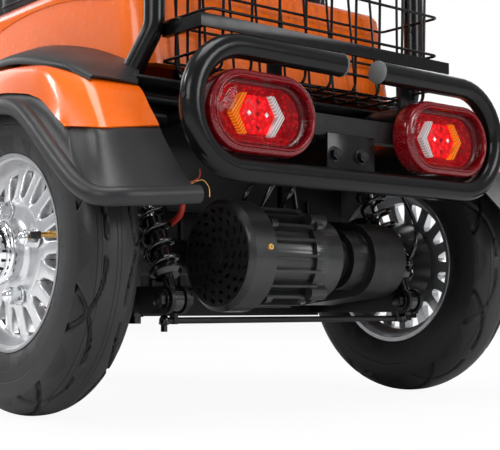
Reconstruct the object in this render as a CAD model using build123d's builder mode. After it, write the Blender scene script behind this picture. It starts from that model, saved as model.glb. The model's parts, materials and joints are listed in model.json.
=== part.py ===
"""Electric tricycle: one steered front wheel, two driven rear wheels, seat, basket and tail lamps.

Millimetres. +X forward, +Y to the rider's left, +Z up, floor at Z = 0, origin under the middle of
the bounding box. Most places are given from the rear axle (dx) or along the steering axis (s).
"""

from build123d import *
import math
import os

os.makedirs("parts", exist_ok=True)

# Overall layout
wheelbase = 1290.0
tyre_radius = 218.0
track = 743.0
rear_reach = 293.0
rear_axle_x = (rear_reach - wheelbase - tyre_radius) / 2
front_axle_x = rear_axle_x + wheelbase
wheel_y = track / 2
axle_z = tyre_radius

# Fits
seat_gap = 0.3
bearing_gap = 0.05

# Wheels
bead_radius = 127.0
flange_radius = 133.0
rim_width = 74.0
rim_wall = 4.0
face_w = 10.0
face_thickness = 14.0
window_count = 16
window_inner_r = 72.0
window_outer_r = 113.0
window_shift = 3.0
window_width = 19.0
nut_circle_r = 60.0
nut_count = 4
nut_flats = 20.5
cap_radius = 37.5
cap_reach = 68.0
shaft_radius = 15.0
drum_radius = 75.0

# Rear axle, motor and arms
housing_radius = 27.0
housing_end_y = 262.0
plate_radius = 80.0
gear_y = (-190.0, -122.0)
motor_dx = -111.0
motor_radius = 80.0
motor_y = (-10.0, 95.0, 140.0)
arm_y = 231.0
arm_width = 30.0
arm_z = (135.0, 175.0)
arm_pivot_dx = 330.0
arm_pivot_z = 232.0
beam_dx = (76.0, 106.0)

# Shock absorbers, from the lower eye to the upper eye in the side view
shock_low = (-134.0, 155.0)
shock_high = (-13.0, 415.0)
shock_body_r = 15.0
spring_r = 21.0
spring_wire = 8.5
spring_turns = 6.5
spring_from = 46.0
spring_length = 168.0
eye_radius = 16.0
eye_pin_r = 6.0

# Main frame
rail_y = 150.0
rail_radius = 19.0
floor_rail_z = 292.0
rear_rail_z = 430.0
rear_rail_end_dx = -210.7
floor_front_dx = 1000.0
kick_dx = (405.0, 285.0)
tray_dx = (60.0, 396.0)
tray_z = 300.0

# Bodywork
hinge_dx = 440.0
body_front_dx = hinge_dx + 2.0
floor_dx = (body_front_dx + 4.0, 962.0)
floor_half_width = 235.0
floor_thickness = 8.0
floor_z = floor_rail_z + rail_radius + seat_gap
body_half_width = 262.0
body_wall = 4.0
body_top_z = 636.0
liner_z = rear_rail_z + rail_radius + seat_gap
liner_wall = 3.5
fender_inner_y = 300.0
fender_edge_y = 405.0
fender_seam_y = 415.0
fender_lip_y = 440.0
fender_wall = 3.0

# Rear bumper, lamps and basket
bumper_dx = -258.0
bumper_tube_r = 16.0
bumper_z = (320.0, 480.0)
bumper_half_width = 311.0
bumper_gap_y = 38.0
channel_dx = (-232.0, -211.0)
channel_z = (384.0, 415.0)
channel_half_width = 250.0
upright_y = 130.0
lamp_y = 181.0
lamp_z = 396.0
lamp_size = (184.0, 110.0)
lamp_depth = 38.0
hoop_radius = 14.5
hoop_dx = -125.0
hoop_y = 259.0
hoop_top_z = 775.0
basket_half_width = 222.0
basket_bottom_z = 462.0
basket_top_z = 700.0
basket_wire = 4.4

# Steering: the axis leans back by the rake and the wheel centre lies ahead of it by the offset
rake = 22.0
fork_offset = 35.0
head_s = (292.0, 452.0)
head_radius = 27.0
steerer_radius = 20.0
yoke_s = (258.0, 280.0)
leg_y = 74.0
leg_radius = 17.0
shield_top_s = 716.0
stem_top_s = 806.0
bar_radius = 11.0
grip_radius = 17.0
front_fender_r = 238.0
front_fender_half = 58.0
front_fender_side = 30.0
front_fender_wall = 3.0

# Seat
hinge_z = 642.0
pan_dx = (20.0, hinge_dx - 16.0)
pan_z = 641.0
pan_thickness = 10.0
cushion_top_z = 748.0
seat_half_width = 225.0
back_tube_y = 178.0
arm_rest_z = 888.0
arm_rest_dx = -24.0
arm_rest_y = 246.0

lean = math.radians(rake)
steer_foot = (
    front_axle_x - fork_offset * math.cos(lean),
    axle_z - fork_offset * math.sin(lean),
)


def rear(dx, y, z):
    """A point given from the rear axle."""
    return (rear_axle_x + dx, y, z)


def rear_side(y):
    """A side view plane at y: local x is dx from the rear axle, local y is z, its normal is -Y."""
    return Plane(origin=(rear_axle_x, y, 0), x_dir=(1, 0, 0), z_dir=(0, -1, 0))


def across(dx):
    """A plane across the vehicle: local x is Y, local y is z, its normal is +X."""
    return Plane(origin=(rear_axle_x + dx, 0, 0), x_dir=(0, 1, 0), z_dir=(1, 0, 0))


def level(z):
    """A level plane: local x is dx from the rear axle, local y is Y."""
    return Plane(origin=(rear_axle_x, 0, z), x_dir=(1, 0, 0), z_dir=(0, 0, 1))


def steer_point(s, ahead, y):
    """A point at s up the steering axis, at a distance ahead of it."""
    return (
        steer_foot[0] - s * math.sin(lean) + ahead * math.cos(lean),
        y,
        steer_foot[1] + s * math.cos(lean) + ahead * math.sin(lean),
    )


def steer_plane(s):
    """A plane square to the steering axis: local x is ahead of it, local y is Y."""
    return Plane(
        origin=steer_point(s, 0, 0),
        x_dir=(math.cos(lean), 0, math.sin(lean)),
        z_dir=(-math.sin(lean), 0, math.cos(lean)),
    )


def wheel_section(x, y, side):
    """A half section plane of a wheel: local x is the radius, local y points outboard."""
    return Plane(origin=(x, y, axle_z), x_dir=(1, 0, 0), z_dir=(0, 0, side))


def wheel_face(x, y, side, w):
    """A plane square to a wheel's axle, at w outboard of its middle."""
    return Plane(origin=(x, y + side * w, axle_z), x_dir=(1, 0, 0), z_dir=(0, side, 0))


def box(x, y, z, mode=Mode.ADD):
    """A box between the limits of dx, y and z."""
    middle = rear((x[0] + x[1]) / 2, (y[0] + y[1]) / 2, (z[0] + z[1]) / 2)
    with Locations(middle):
        Box(x[1] - x[0], y[1] - y[0], z[1] - z[0], mode=mode)


def rod(start, end, radius, mode=Mode.ADD):
    """A round rod between two points."""
    direction = Vector(*end) - Vector(*start)
    with BuildSketch(Plane(origin=start, z_dir=direction)) as disc:
        Circle(radius)
    extrude(disc.sketch, amount=direction.length, mode=mode)


def tube(points, radius, bends):
    """A round tube along points, with one bend radius or a list of them."""
    with BuildLine() as path:
        FilletPolyline(*points, radius=bends)
    start = path.line @ 0
    with BuildSketch(Plane(origin=start, z_dir=path.line % 0)) as disc:
        Circle(radius)
    sweep(disc.sketch, path=path.line)


def mirrored(part):
    """The right-hand copy of a left-hand piece, added to the part that is being built."""
    mirror(part, about=Plane.XZ)


def keep(part, name):
    """Labels a finished piece and writes it."""
    part.label = name
    export_step(part, f"parts/{name}.step")


# Rear wheels and front wheel. Tyre section as radius and distance from the middle.
tyre_section = (
    (bead_radius + seat_gap, -30.0),
    (bead_radius + seat_gap, 30.0),
    (flange_radius + 3.0, 36.0),
    (158.0, 43.0),
    (180.0, 45.0),
    (200.0, 41.0),
    (212.0, 26.0),
    (tyre_radius, 9.0),
    (tyre_radius, -9.0),
    (212.0, -26.0),
    (200.0, -41.0),
    (180.0, -45.0),
    (158.0, -43.0),
    (flange_radius + 3.0, -36.0),
)
half_rim = rim_width / 2


def build_tyre(x, y, side):
    """A tyre as one closed ring, seated on the rim's beads."""
    with BuildPart() as tyre:
        with BuildSketch(wheel_section(x, y, side)):
            with BuildLine():
                Polyline(*tyre_section, close=True)
            make_face()
        revolve(axis=Axis((x, y, axle_z), (0, 1, 0)))
    return tyre.part


def build_rim(x, y, side, hub_radius, hub_w, bore_radius):
    """A cast rim: barrel with a drop centre, spoked face with windows, hub boss and bore."""
    axis = Axis((x, y, axle_z), (0, 1, 0))
    barrel = (
        (flange_radius, -half_rim),
        (flange_radius, -half_rim + 3.0),
        (bead_radius, -half_rim + 6.0),
        (bead_radius - 1.0, -18.0),
        (bead_radius - 12.0, -11.0),
        (bead_radius - 12.0, 11.0),
        (bead_radius - 1.0, 18.0),
        (bead_radius, half_rim - 6.0),
        (flange_radius, half_rim - 3.0),
        (flange_radius, half_rim),
        (bead_radius - 1.0, half_rim),
        (bead_radius - rim_wall, half_rim - 9.0),
        (bead_radius - rim_wall - 3.0, 20.0),
        (bead_radius - 12.0 - rim_wall, 13.0),
        (bead_radius - 12.0 - rim_wall, -13.0),
        (bead_radius - rim_wall - 3.0, -20.0),
        (bead_radius - rim_wall, -half_rim + 9.0),
        (bead_radius - 1.0, -half_rim),
    )
    with BuildPart() as rim:
        with BuildSketch(wheel_section(x, y, side)):
            with BuildLine():
                Polyline(
                    (bore_radius, hub_w[0]),
                    (hub_radius, hub_w[0]),
                    (hub_radius, face_w - 6.0),
                    (window_inner_r - 4.0, face_w - 2.0),
                    (window_outer_r, face_w - 8.0),
                    (window_outer_r, face_w + 2.0),
                    (window_inner_r, face_w + face_thickness),
                    (hub_radius + 5.0, face_w + face_thickness + 2.0),
                    (hub_radius, hub_w[1]),
                    (bore_radius, hub_w[1]),
                    close=True,
                )
            make_face()
        revolve(axis=axis)
        # Windows between the spokes
        with BuildSketch(wheel_face(x, y, side, -half_rim)):
            with PolarLocations((window_inner_r + window_outer_r) / 2 + window_shift, window_count):
                Trapezoid(window_width, window_outer_r - window_inner_r + 2.0, 81.0, 81.0, rotation=90)
        extrude(amount=rim_width + 20.0, mode=Mode.SUBTRACT)
        with BuildSketch(wheel_section(x, y, side)):
            with BuildLine():
                Polyline(*barrel, close=True)
            make_face()
        revolve(axis=axis)
    return rim.part


for name, side in (("left", 1), ("right", -1)):
    y = side * wheel_y
    keep(build_tyre(rear_axle_x, y, side), f"rear_tyre_{name}")
    rim = build_rim(
        rear_axle_x, y, side, 40.0, (-4.0, 44.0), shaft_radius + seat_gap
    )
    # Bolt holes through the face
    with BuildPart() as drilled:
        add(rim)
        with BuildSketch(wheel_face(rear_axle_x, y, side, -10.0)):
            with PolarLocations(nut_circle_r, nut_count, start_angle=16.0):
                Circle(6.3)
        extrude(amount=60.0, mode=Mode.SUBTRACT)
    keep(drilled.part, f"rear_rim_{name}")

    # Hub cap with its crown ring, and the nuts with their studs
    nut_w = face_w + face_thickness + 2.0 + seat_gap
    with BuildPart() as hub:
        with BuildSketch(wheel_section(rear_axle_x, y, side)):
            with BuildLine():
                Polyline(
                    (0.0, 44.0 + seat_gap),
                    (cap_radius + 6.0, 44.0 + seat_gap),
                    (cap_radius + 6.0, 52.0),
                    (cap_radius, 55.0),
                    (cap_radius - 3.0, cap_reach - 4.0),
                    (cap_radius - 8.0, cap_reach),
                    (0.0, cap_reach),
                    close=True,
                )
            make_face()
        revolve(axis=Axis((rear_axle_x, y, axle_z), (0, 1, 0)))
        with BuildSketch(wheel_face(rear_axle_x, y, side, nut_w)):
            with PolarLocations(nut_circle_r, nut_count, start_angle=16.0):
                RegularPolygon(nut_flats / 2, 6, major_radius=False)
        extrude(amount=18.0)
        with BuildSketch(wheel_face(rear_axle_x, y, side, nut_w + 18.0)):
            with PolarLocations(nut_circle_r, nut_count, start_angle=16.0):
                Circle(nut_flats / 2 - 2.0)
        extrude(amount=6.0, taper=25.0)
    keep(hub.part, f"rear_hub_{name}")

    # Brake drum and half shaft, turned in one piece, reaching into the axle housing
    with BuildPart() as drum:
        with BuildSketch(wheel_section(rear_axle_x, y, side)):
            with BuildLine():
                Polyline(
                    (0.0, housing_end_y - 60.0 - wheel_y),
                    (shaft_radius, housing_end_y - 60.0 - wheel_y),
                    (shaft_radius, 275.0 - wheel_y),
                    (drum_radius, 275.0 - wheel_y),
                    (drum_radius, -16.0),
                    (drum_radius - 8.0, -8.0),
                    (drum_radius - 12.0, -4.0 - seat_gap),
                    (shaft_radius, -4.0 - seat_gap),
                    (shaft_radius, 44.0),
                    (0.0, 44.0),
                    close=True,
                )
            make_face()
        revolve(axis=Axis((rear_axle_x, y, axle_z), (0, 1, 0)))
    keep(drum.part, f"brake_drum_{name}")

# Front wheel: tyre and rim with its hub
front_hub_half = 52.0
front_pin_radius = 7.0
keep(build_tyre(front_axle_x, 0.0, 1), "front_tyre")
keep(
    build_rim(
        front_axle_x,
        0.0,
        1,
        44.0,
        (-front_hub_half, front_hub_half),
        front_pin_radius + bearing_gap,
    ),
    "front_rim",
)

# Axle housing with gear case and backing plates
with BuildPart() as axle_housing:
    rod(
        rear(0, -housing_end_y, axle_z),
        rear(0, housing_end_y, axle_z),
        housing_radius,
    )
    with BuildSketch(rear_side(gear_y[1])):
        with Locations((0, axle_z)):
            Circle(70.0)
        with Locations((motor_dx, axle_z)):
            Circle(58.0)
        with BuildLine():
            Polyline(
                (motor_dx, axle_z + 58.0),
                (0, axle_z + 70.0),
                (0, axle_z - 70.0),
                (motor_dx, axle_z - 58.0),
                close=True,
            )
        make_face()
    extrude(amount=gear_y[1] - gear_y[0])
    # Stepped boss that joins the motor to the gear case
    rod(rear(motor_dx, gear_y[1], axle_z), rear(motor_dx, -88, axle_z), 46.0)
    rod(rear(motor_dx, -88, axle_z), rear(motor_dx, -50, axle_z), 34.0)
    for side in (1, -1):
        rod(
            rear(0, side * (housing_end_y - 2.0), axle_z),
            rear(0, side * (housing_end_y + 5.0), axle_z),
            plate_radius,
        )
    # Bearing bores for the half shafts
    for side in (1, -1):
        rod(
            rear(0, side * (housing_end_y - 62.0), axle_z),
            rear(0, side * (housing_end_y + 20.0), axle_z),
            shaft_radius + bearing_gap,
            mode=Mode.SUBTRACT,
        )
keep(axle_housing.part, "axle_housing")

# Motor: finned body with end bracket and tie bolt lugs, and the fan cover with its grille
fin_count = 20
with BuildPart() as motor_body:
    rod(
        rear(motor_dx, motor_y[0] - 40.0 + seat_gap, axle_z),
        rear(motor_dx, motor_y[1] - seat_gap, axle_z),
        62.0,
    )
    with BuildSketch(rear_side(motor_y[1] - seat_gap)):
        with Locations((motor_dx, axle_z)):
            with PolarLocations(66.0, fin_count):
                Rectangle(16.0, 4.0)
    extrude(amount=motor_y[1] - motor_y[0] - 12.0)
    # End bracket with four lugs
    rod(rear(motor_dx, 10.0, axle_z), rear(motor_dx, -12.0, axle_z), 70.0)
    with BuildSketch(rear_side(14.0)):
        with Locations((motor_dx, axle_z)):
            with PolarLocations(69.0, 4, start_angle=45.0):
                SlotOverall(30.0, 20.0)
    extrude(amount=30.0)
keep(motor_body.part, "motor_body")

with BuildPart() as motor_cover:
    rod(
        rear(motor_dx, motor_y[1], axle_z),
        rear(motor_dx, motor_y[2], axle_z),
        motor_radius,
    )
    chamfer(motor_cover.faces().sort_by(Axis.Y)[-1].edges(), 7.0)
    # Hollow behind the grille
    rod(
        rear(motor_dx, motor_y[1] + 20.0, axle_z),
        rear(motor_dx, motor_y[2] - 4.0, axle_z),
        motor_radius - 6.0,
        mode=Mode.SUBTRACT,
    )
    # Slots in rings: radius, count and lean of each ring
    for ring_r, ring_count, slot_turn in (
        (24.0, 10, 30.0),
        (38.0, 14, 30.0),
        (52.0, 18, 30.0),
        (64.5, 22, 30.0),
    ):
        with BuildSketch(rear_side(motor_y[2] + 1.0)):
            with Locations((motor_dx, axle_z)):
                with PolarLocations(ring_r, ring_count):
                    Rectangle(5.0, 10.0, rotation=slot_turn)
        extrude(amount=6.0, mode=Mode.SUBTRACT)
keep(motor_cover.part, "motor_cover")

# Suspension arms, cross beams, axle saddles and clevises in one welded piece
with BuildPart() as swing_arm:
    for side in (1, -1):
        with BuildSketch(rear_side(side * arm_y + arm_width / 2)):
            with BuildLine():
                Polyline(
                    (shock_low[0] - 3.0, arm_z[0] + 2.0),
                    (beam_dx[1] + 60.0, arm_z[0]),
                    (arm_pivot_dx, arm_pivot_z - 24.0),
                    (arm_pivot_dx, arm_pivot_z + 24.0),
                    (beam_dx[1] + 40.0, arm_z[1]),
                    (shock_low[0] - 3.0, arm_z[1] - 2.0),
                    close=True,
                )
            make_face()
            with Locations(shock_low):
                Circle(19.0)
            with Locations((arm_pivot_dx, arm_pivot_z)):
                Circle(24.0)
        extrude(amount=arm_width)
        # Saddle under the axle housing
        box((-34.0, 34.0), (side * arm_y - 15.0, side * arm_y + 15.0), (arm_z[1] - 2.0, 208.0))
    box(beam_dx, (-arm_y, arm_y), (131.0, 172.0))
    rod(
        rear(arm_pivot_dx, -arm_y - 15.0, arm_pivot_z),
        rear(arm_pivot_dx, arm_y + 15.0, arm_pivot_z),
        16.0,
    )
    # Brake link rod below the arms
    rod(rear(-118.0, -arm_y, 127.0), rear(-118.0, arm_y, 127.0), 4.5)
    for side in (1, -1):
        y0 = side * (arm_y - 12.0)
        box((-124.0, -112.0), (y0 - 3.0, y0 + 3.0), (122.0, 140.0))
    # Slots for the shock eyes, and the round seats of the axle
    for side in (1, -1):
        y = side * arm_y
        box(
            (shock_low[0] - 30.0, shock_low[0] + 24.0),
            (y - 9.0, y + 9.0),
            (arm_z[0] - 2.0, arm_z[1] + 30.0),
            mode=Mode.SUBTRACT,
        )
        rod(rear(0, y - 16.0, axle_z), rear(0, y + 16.0, axle_z), housing_radius + seat_gap, Mode.SUBTRACT)
    for side in (1, -1):
        y = side * arm_y
        rod(rear(shock_low[0], y - 22.0, shock_low[1]), rear(shock_low[0], y + 22.0, shock_low[1]), eye_pin_r)
keep(swing_arm.part, "swing_arm")

# Shock absorbers: axis in the side view, as a unit vector from the lower to the upper eye
shock_span = math.dist(shock_low, shock_high)
shock_dir = (
    (shock_high[0] - shock_low[0]) / shock_span,
    (shock_high[1] - shock_low[1]) / shock_span,
)


def on_shock(t, y):
    """A point at t along the shock absorber's axis."""
    return rear(shock_low[0] + t * shock_dir[0], y, shock_low[1] + t * shock_dir[1])


with BuildPart() as shock_dampers:
    for side in (1, -1):
        y = side * arm_y
        for dx, z in (shock_low, shock_high):
            rod(rear(dx, y - 8.5, z), rear(dx, y + 8.5, z), eye_radius)
        rod(on_shock(10.0, y), on_shock(36.0, y), 8.4)
        rod(on_shock(35.0, y), on_shock(120.0, y), shock_body_r)
        rod(on_shock(120.0, y), on_shock(shock_span - 12.0, y), 7.0)
        rod(on_shock(spring_from - 6.0, y), on_shock(spring_from - seat_gap, y), 24.0)
        spring_end = spring_from + spring_length + seat_gap
        rod(on_shock(spring_end, y), on_shock(spring_end + 7.0, y), 24.0)
        rod(on_shock(spring_end + 7.0, y), on_shock(spring_end + 24.0, y), 15.0)
        for dx, z in (shock_low, shock_high):
            rod(rear(dx, y - 9.0, z), rear(dx, y + 9.0, z), eye_pin_r + seat_gap, Mode.SUBTRACT)
keep(shock_dampers.part, "shock_dampers")

with BuildPart() as shock_springs:
    for side in (1, -1):
        y = side * arm_y
        rise = spring_length - spring_wire
        axis_dir = Vector(shock_dir[0], 0, shock_dir[1])
        with BuildLine() as coil:
            Helix(
                pitch=rise / spring_turns,
                height=rise,
                radius=spring_r,
                center=on_shock(spring_from + spring_wire / 2, y),
                direction=axis_dir,
            )
        with BuildSketch(Plane(origin=coil.line @ 0, z_dir=coil.line % 0)):
            RegularPolygon(spring_wire / 2, 6)
        sweep(path=coil.line, is_frenet=True)
keep(shock_springs.part, "shock_springs")

# Main frame: rails, cross tubes, tray for the battery, shock towers, down tube and head tube
with BuildPart() as frame:
    for side in (1, -1):
        y = side * rail_y
        tube(
            [
                rear(floor_front_dx, y, floor_rail_z),
                rear(kick_dx[0], y, floor_rail_z),
                rear(kick_dx[1], y, rear_rail_z),
                rear(rear_rail_end_dx, y, rear_rail_z),
            ],
            rail_radius,
            60.0,
        )
    for dx, z, half, radius in (
        (floor_front_dx, floor_rail_z, rail_y + rail_radius, 19.0),
        (700.0, floor_rail_z, rail_y, 14.0),
        (kick_dx[0] + 20.0, floor_rail_z, rail_y, 16.0),
        (shock_high[0], rear_rail_z, arm_y + 15.0, 16.0),
        (-95.0, 437.0, 290.0, 10.0),
    ):
        rod(rear(dx, -half, z), rear(dx, half, z), radius)
    # Shock towers: two cheeks each side, with the upper pin between them
    for side in (1, -1):
        for inner in (-15.0, 9.0):
            y0 = side * arm_y + inner
            box((shock_high[0] - 18.0, shock_high[0] + 18.0), (y0, y0 + 6.0), (395.0, 436.0))
        box(
            (shock_high[0] - 20.0, shock_high[0] + 20.0),
            (side * arm_y - 9.0, side * arm_y + 9.0),
            (380.0, 434.0),
            mode=Mode.SUBTRACT,
        )
        y0 = side * arm_y
        box((shock_high[0] - 18.0, shock_high[0] + 18.0), (y0 - 15.0, y0 + 15.0), (434.0, 446.0))
        rod(
            rear(shock_high[0], y0 - 15.0, shock_high[1]),
            rear(shock_high[0], y0 + 15.0, shock_high[1]),
            eye_pin_r,
        )
    # Battery tray hung between the rails
    box(tray_dx, (-rail_y + 20.0, rail_y - 20.0), (tray_z - 6.0, tray_z - seat_gap))
    for dx, top in ((tray_dx[0], 440.0), (tray_dx[1], 315.0)):
        for side in (1, -1):
            y0 = side * (rail_y - 20.0)
            box((dx - 6.0, dx + 6.0), (y0 - 2.0, y0 + 2.0), (tray_z - 6.0, top))
    # Pivot lugs of the suspension arms
    for side in (1, -1):
        y0 = side * (rail_y + 10.0)
        box((arm_pivot_dx - 18.0, arm_pivot_dx + 18.0), (y0 - 5.0, y0 + 5.0), (arm_pivot_z - 20.0, 400.0))
    rod(
        rear(arm_pivot_dx, -rail_y - 20.0, arm_pivot_z),
        rear(arm_pivot_dx, rail_y + 20.0, arm_pivot_z),
        16.0 + seat_gap,
        Mode.SUBTRACT,
    )
    # Down tube and head tube
    rod(rear(floor_front_dx, 0, floor_rail_z), steer_point(head_s[0] + 60.0, -10.0, 0), 22.0)
    rod(steer_point(head_s[0], 0, 0), steer_point(head_s[1], 0, 0), head_radius)
    # Seat posts that carry the body's top
    for dx in (110.0, 380.0):
        for side in (1, -1):
            y0 = side * rail_y
            top = body_top_z - body_wall - seat_gap
            rod(rear(dx, y0, 425.0 if dx < kick_dx[1] else 330.0), rear(dx, y0, top), 12.0)
    # Stays that carry the shields
    for side in (1, -1):
        rod(
            rear(floor_front_dx, side * rail_y, floor_rail_z),
            steer_point(head_s[1] - 30.0, -12.0, side * 16.0),
            9.0,
        )
    rod(
        steer_point(head_s[0] - 20.0, 0, 0),
        steer_point(head_s[1] + 20.0, 0, 0),
        steerer_radius + bearing_gap,
        Mode.SUBTRACT,
    )
keep(frame.part, "frame")

# Battery pack, one plain block on its tray
with BuildPart() as battery_pack:
    box((tray_dx[0] + 10.0, tray_dx[1] - 20.0), (-118.0, 118.0), (tray_z, tray_z + 165.0))
keep(battery_pack.part, "battery_pack")

# Floor pan with down-turned sills, and its mat
with BuildPart() as floorboard:
    box(floor_dx, (-floor_half_width, floor_half_width), (floor_z, floor_z + floor_thickness))
    fillet(floorboard.edges().filter_by(Axis.Z), 30.0)
    for side in (1, -1):
        y0 = side * (floor_half_width - 5.0)
        box((floor_dx[0] + 30.0, floor_dx[1] - 30.0), (y0 - 5.0, y0 + 5.0), (floor_z - 42.0, floor_z + 2.0))
keep(floorboard.part, "floorboard")

mat_z = floor_z + floor_thickness + seat_gap
with BuildPart() as floor_mat:
    box((floor_dx[0] + 14.0, floor_dx[1] - 22.0), (-200.0, 200.0), (mat_z, mat_z + 3.0))
    for row in range(9):
        y0 = -176.0 + 44.0 * row
        box((floor_dx[0] + 24.0, floor_dx[1] - 32.0), (y0 - 8.0, y0 + 8.0), (mat_z + 2.0, mat_z + 5.0))
keep(floor_mat.part, "floor_mat")

# Body shell that carries the seat: side outline, hollowed from below, with a recess on each side
body_outline = (
    (-90.0, 485.0),
    (-66.0, body_top_z),
    (body_front_dx, body_top_z),
    (body_front_dx - 12.0, floor_z + floor_thickness + seat_gap),
    (300.0, floor_z + floor_thickness + seat_gap),
    (262.0, 470.0),
    (-40.0, 470.0),
)


def body_block(wall, drop):
    """The body's rounded block, inset by a wall, with its open edge lowered by drop."""
    back, back_top, front_top, front, front_in, step, back_in = body_outline
    with BuildPart() as block:
        with BuildSketch(rear_side(body_half_width - wall)):
            with BuildLine():
                Polyline(
                    (back[0] + wall, back[1] - drop),
                    (back_top[0] + wall, back_top[1] - wall),
                    (front_top[0] - wall, front_top[1] - wall),
                    (front[0] - wall, front[1] - drop),
                    (front_in[0], front_in[1] - drop),
                    (step[0], step[1] - drop),
                    (back_in[0], back_in[1] - drop),
                    close=True,
                )
            make_face()
        extrude(amount=2 * (body_half_width - wall))
        fillet(block.faces().sort_by(Axis.X)[0].edges().filter_by(Axis.Y, reverse=True), 40.0 - wall)
        fillet(block.faces().sort_by(Axis.Z)[-1].edges(), 18.0 - wall)
    return block.part


with BuildPart() as seat_pedestal:
    add(body_block(0.0, 0.0))
    add(body_block(body_wall, 60.0), mode=Mode.SUBTRACT)
    # Swept recess on each side
    for side in (1, -1):
        with BuildSketch(rear_side(side * (body_half_width - 0.75) + 0.85)):
            with BuildLine():
                ThreePointArc((-20.0, 582.0), (190.0, 612.0), (400.0, 584.0))
                Line((400.0, 584.0), (360.0, 560.0))
                ThreePointArc((360.0, 560.0), (170.0, 590.0), (-20.0, 582.0))
            make_face()
        extrude(amount=1.7, mode=Mode.SUBTRACT)
    # Hinge lugs with their pins at the front of the top
    for side in (1, -1):
        y0 = side * 146.0
        box((hinge_dx - 9.0, hinge_dx + 9.0), (y0 - 5.0, y0 + 5.0), (600.0, hinge_z))
        rod(rear(hinge_dx, y0 - 5.0, hinge_z), rear(hinge_dx, y0 + 5.0, hinge_z), 9.0)
        y0 = side * 132.0
        rod(rear(hinge_dx, y0 - 18.0, hinge_z), rear(hinge_dx, y0 + 18.0, hinge_z), 5.0)
keep(seat_pedestal.part, "seat_pedestal")

# Rear deck between the fenders, with skirts cut round the wheels
with BuildPart() as rear_liner:
    deck_half = fender_inner_y - seat_gap
    box((-140.0, 255.0), (-deck_half, deck_half), (liner_z, liner_z + liner_wall))
    box((54.0, 260.0), (-165.0, 165.0), (liner_z - 1.0, liner_z + 10.0), mode=Mode.SUBTRACT)
    for side in (1, -1):
        outer = deck_half if side > 0 else -deck_half + liner_wall
        with BuildSketch(rear_side(outer)):
            with BuildLine():
                Polyline(
                    (-140.0, liner_z + 1.0),
                    (255.0, liner_z + 1.0),
                    (255.0, 330.0),
                    (205.0, 330.0),
                    (-140.0, 395.0),
                    close=True,
                )
            make_face()
            with Locations((0, axle_z)):
                Circle(235.0, mode=Mode.SUBTRACT)
        extrude(amount=liner_wall)
keep(rear_liner.part, "rear_liner")

# Fender arches in the side view, as rear slope, crown and front slope
crown = ((-262.0, 298.0), (-151.0, 433.0), (45.0, 478.0), (170.0, 462.0), (268.0, 322.0))
seam = ((-246.0, 304.0), (-89.0, 415.0), (20.0, 434.0), (140.0, 420.0), (262.0, 318.0))
lip = ((-258.0, 281.0), (-93.0, 406.0), (10.0, 420.0), (128.0, 407.0), (258.0, 312.0))
arch_bottom = 200.0


def arch_section(y, arch, drop):
    """A closed arch section in the side view at y, lowered by drop."""
    back, back_top, top, front_top, front = arch
    with BuildSketch(rear_side(y)) as section:
        with BuildLine():
            Line((back[0] + drop, arch_bottom - drop), (back[0] + drop, back[1]))
            Line((back[0] + drop, back[1]), (back_top[0] + drop / 2, back_top[1] - drop))
            ThreePointArc(
                (back_top[0] + drop / 2, back_top[1] - drop),
                (top[0], top[1] - drop),
                (front_top[0] - drop / 2, front_top[1] - drop),
            )
            Line((front_top[0] - drop / 2, front_top[1] - drop), (front[0] - drop, front[1]))
            Line((front[0] - drop, front[1]), (front[0] - drop, arch_bottom - drop))
            Line((front[0] - drop, arch_bottom - drop), (back[0] + drop, arch_bottom - drop))
        make_face()
    return section.sketch


def arch_body(stations, drop):
    """A ruled body through arch sections, given as (y, arch)."""
    sections = [arch_section(y, arch, drop).faces()[0] for y, arch in stations]
    with BuildPart() as body:
        loft(sections=sections, ruled=True)
    return body.part


arch_outer = arch_body(
    (
        (fender_inner_y, crown),
        (fender_edge_y, crown),
        (fender_seam_y, seam),
        (fender_lip_y, lip),
    ),
    0.0,
)
arch_inner = arch_body(
    (
        (fender_inner_y - 2.0, crown),
        (fender_edge_y - fender_wall, crown),
        (fender_seam_y - fender_wall, seam),
        (fender_lip_y + 1.0, lip),
    ),
    fender_wall,
)
seam_cut = (-202.0, 372.0)
seam_dir = (0.779, -0.627)
lip_radius = 12.0
lip_dx = -rear_reach + lip_radius
lip_path_y = fender_lip_y - 1.0


def seam_point(distance, shift):
    """A point on the line of the seam across the rear slope, moved forward by shift."""
    return (seam_cut[0] + distance * seam_dir[0] + shift, seam_cut[1] + distance * seam_dir[1])


def cut_region(shift, far_dx, y_high):
    """Removes one side of the seam, up to y_high."""
    with BuildSketch(rear_side(y_high)) as region:
        with BuildLine():
            Polyline(
                seam_point(-80.0, shift),
                seam_point(230.0, shift),
                (seam_point(230.0, shift)[0], 50.0),
                (far_dx, 50.0),
                (far_dx, 700.0),
                (seam_point(-80.0, shift)[0], 700.0),
                close=True,
            )
        make_face()
    extrude(region.sketch, amount=300.0, mode=Mode.SUBTRACT)


def crown_z(dx):
    """Height of the fender's crown."""
    return crown[2][1] - (dx - crown[2][0]) ** 2 / 898.0


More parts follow.
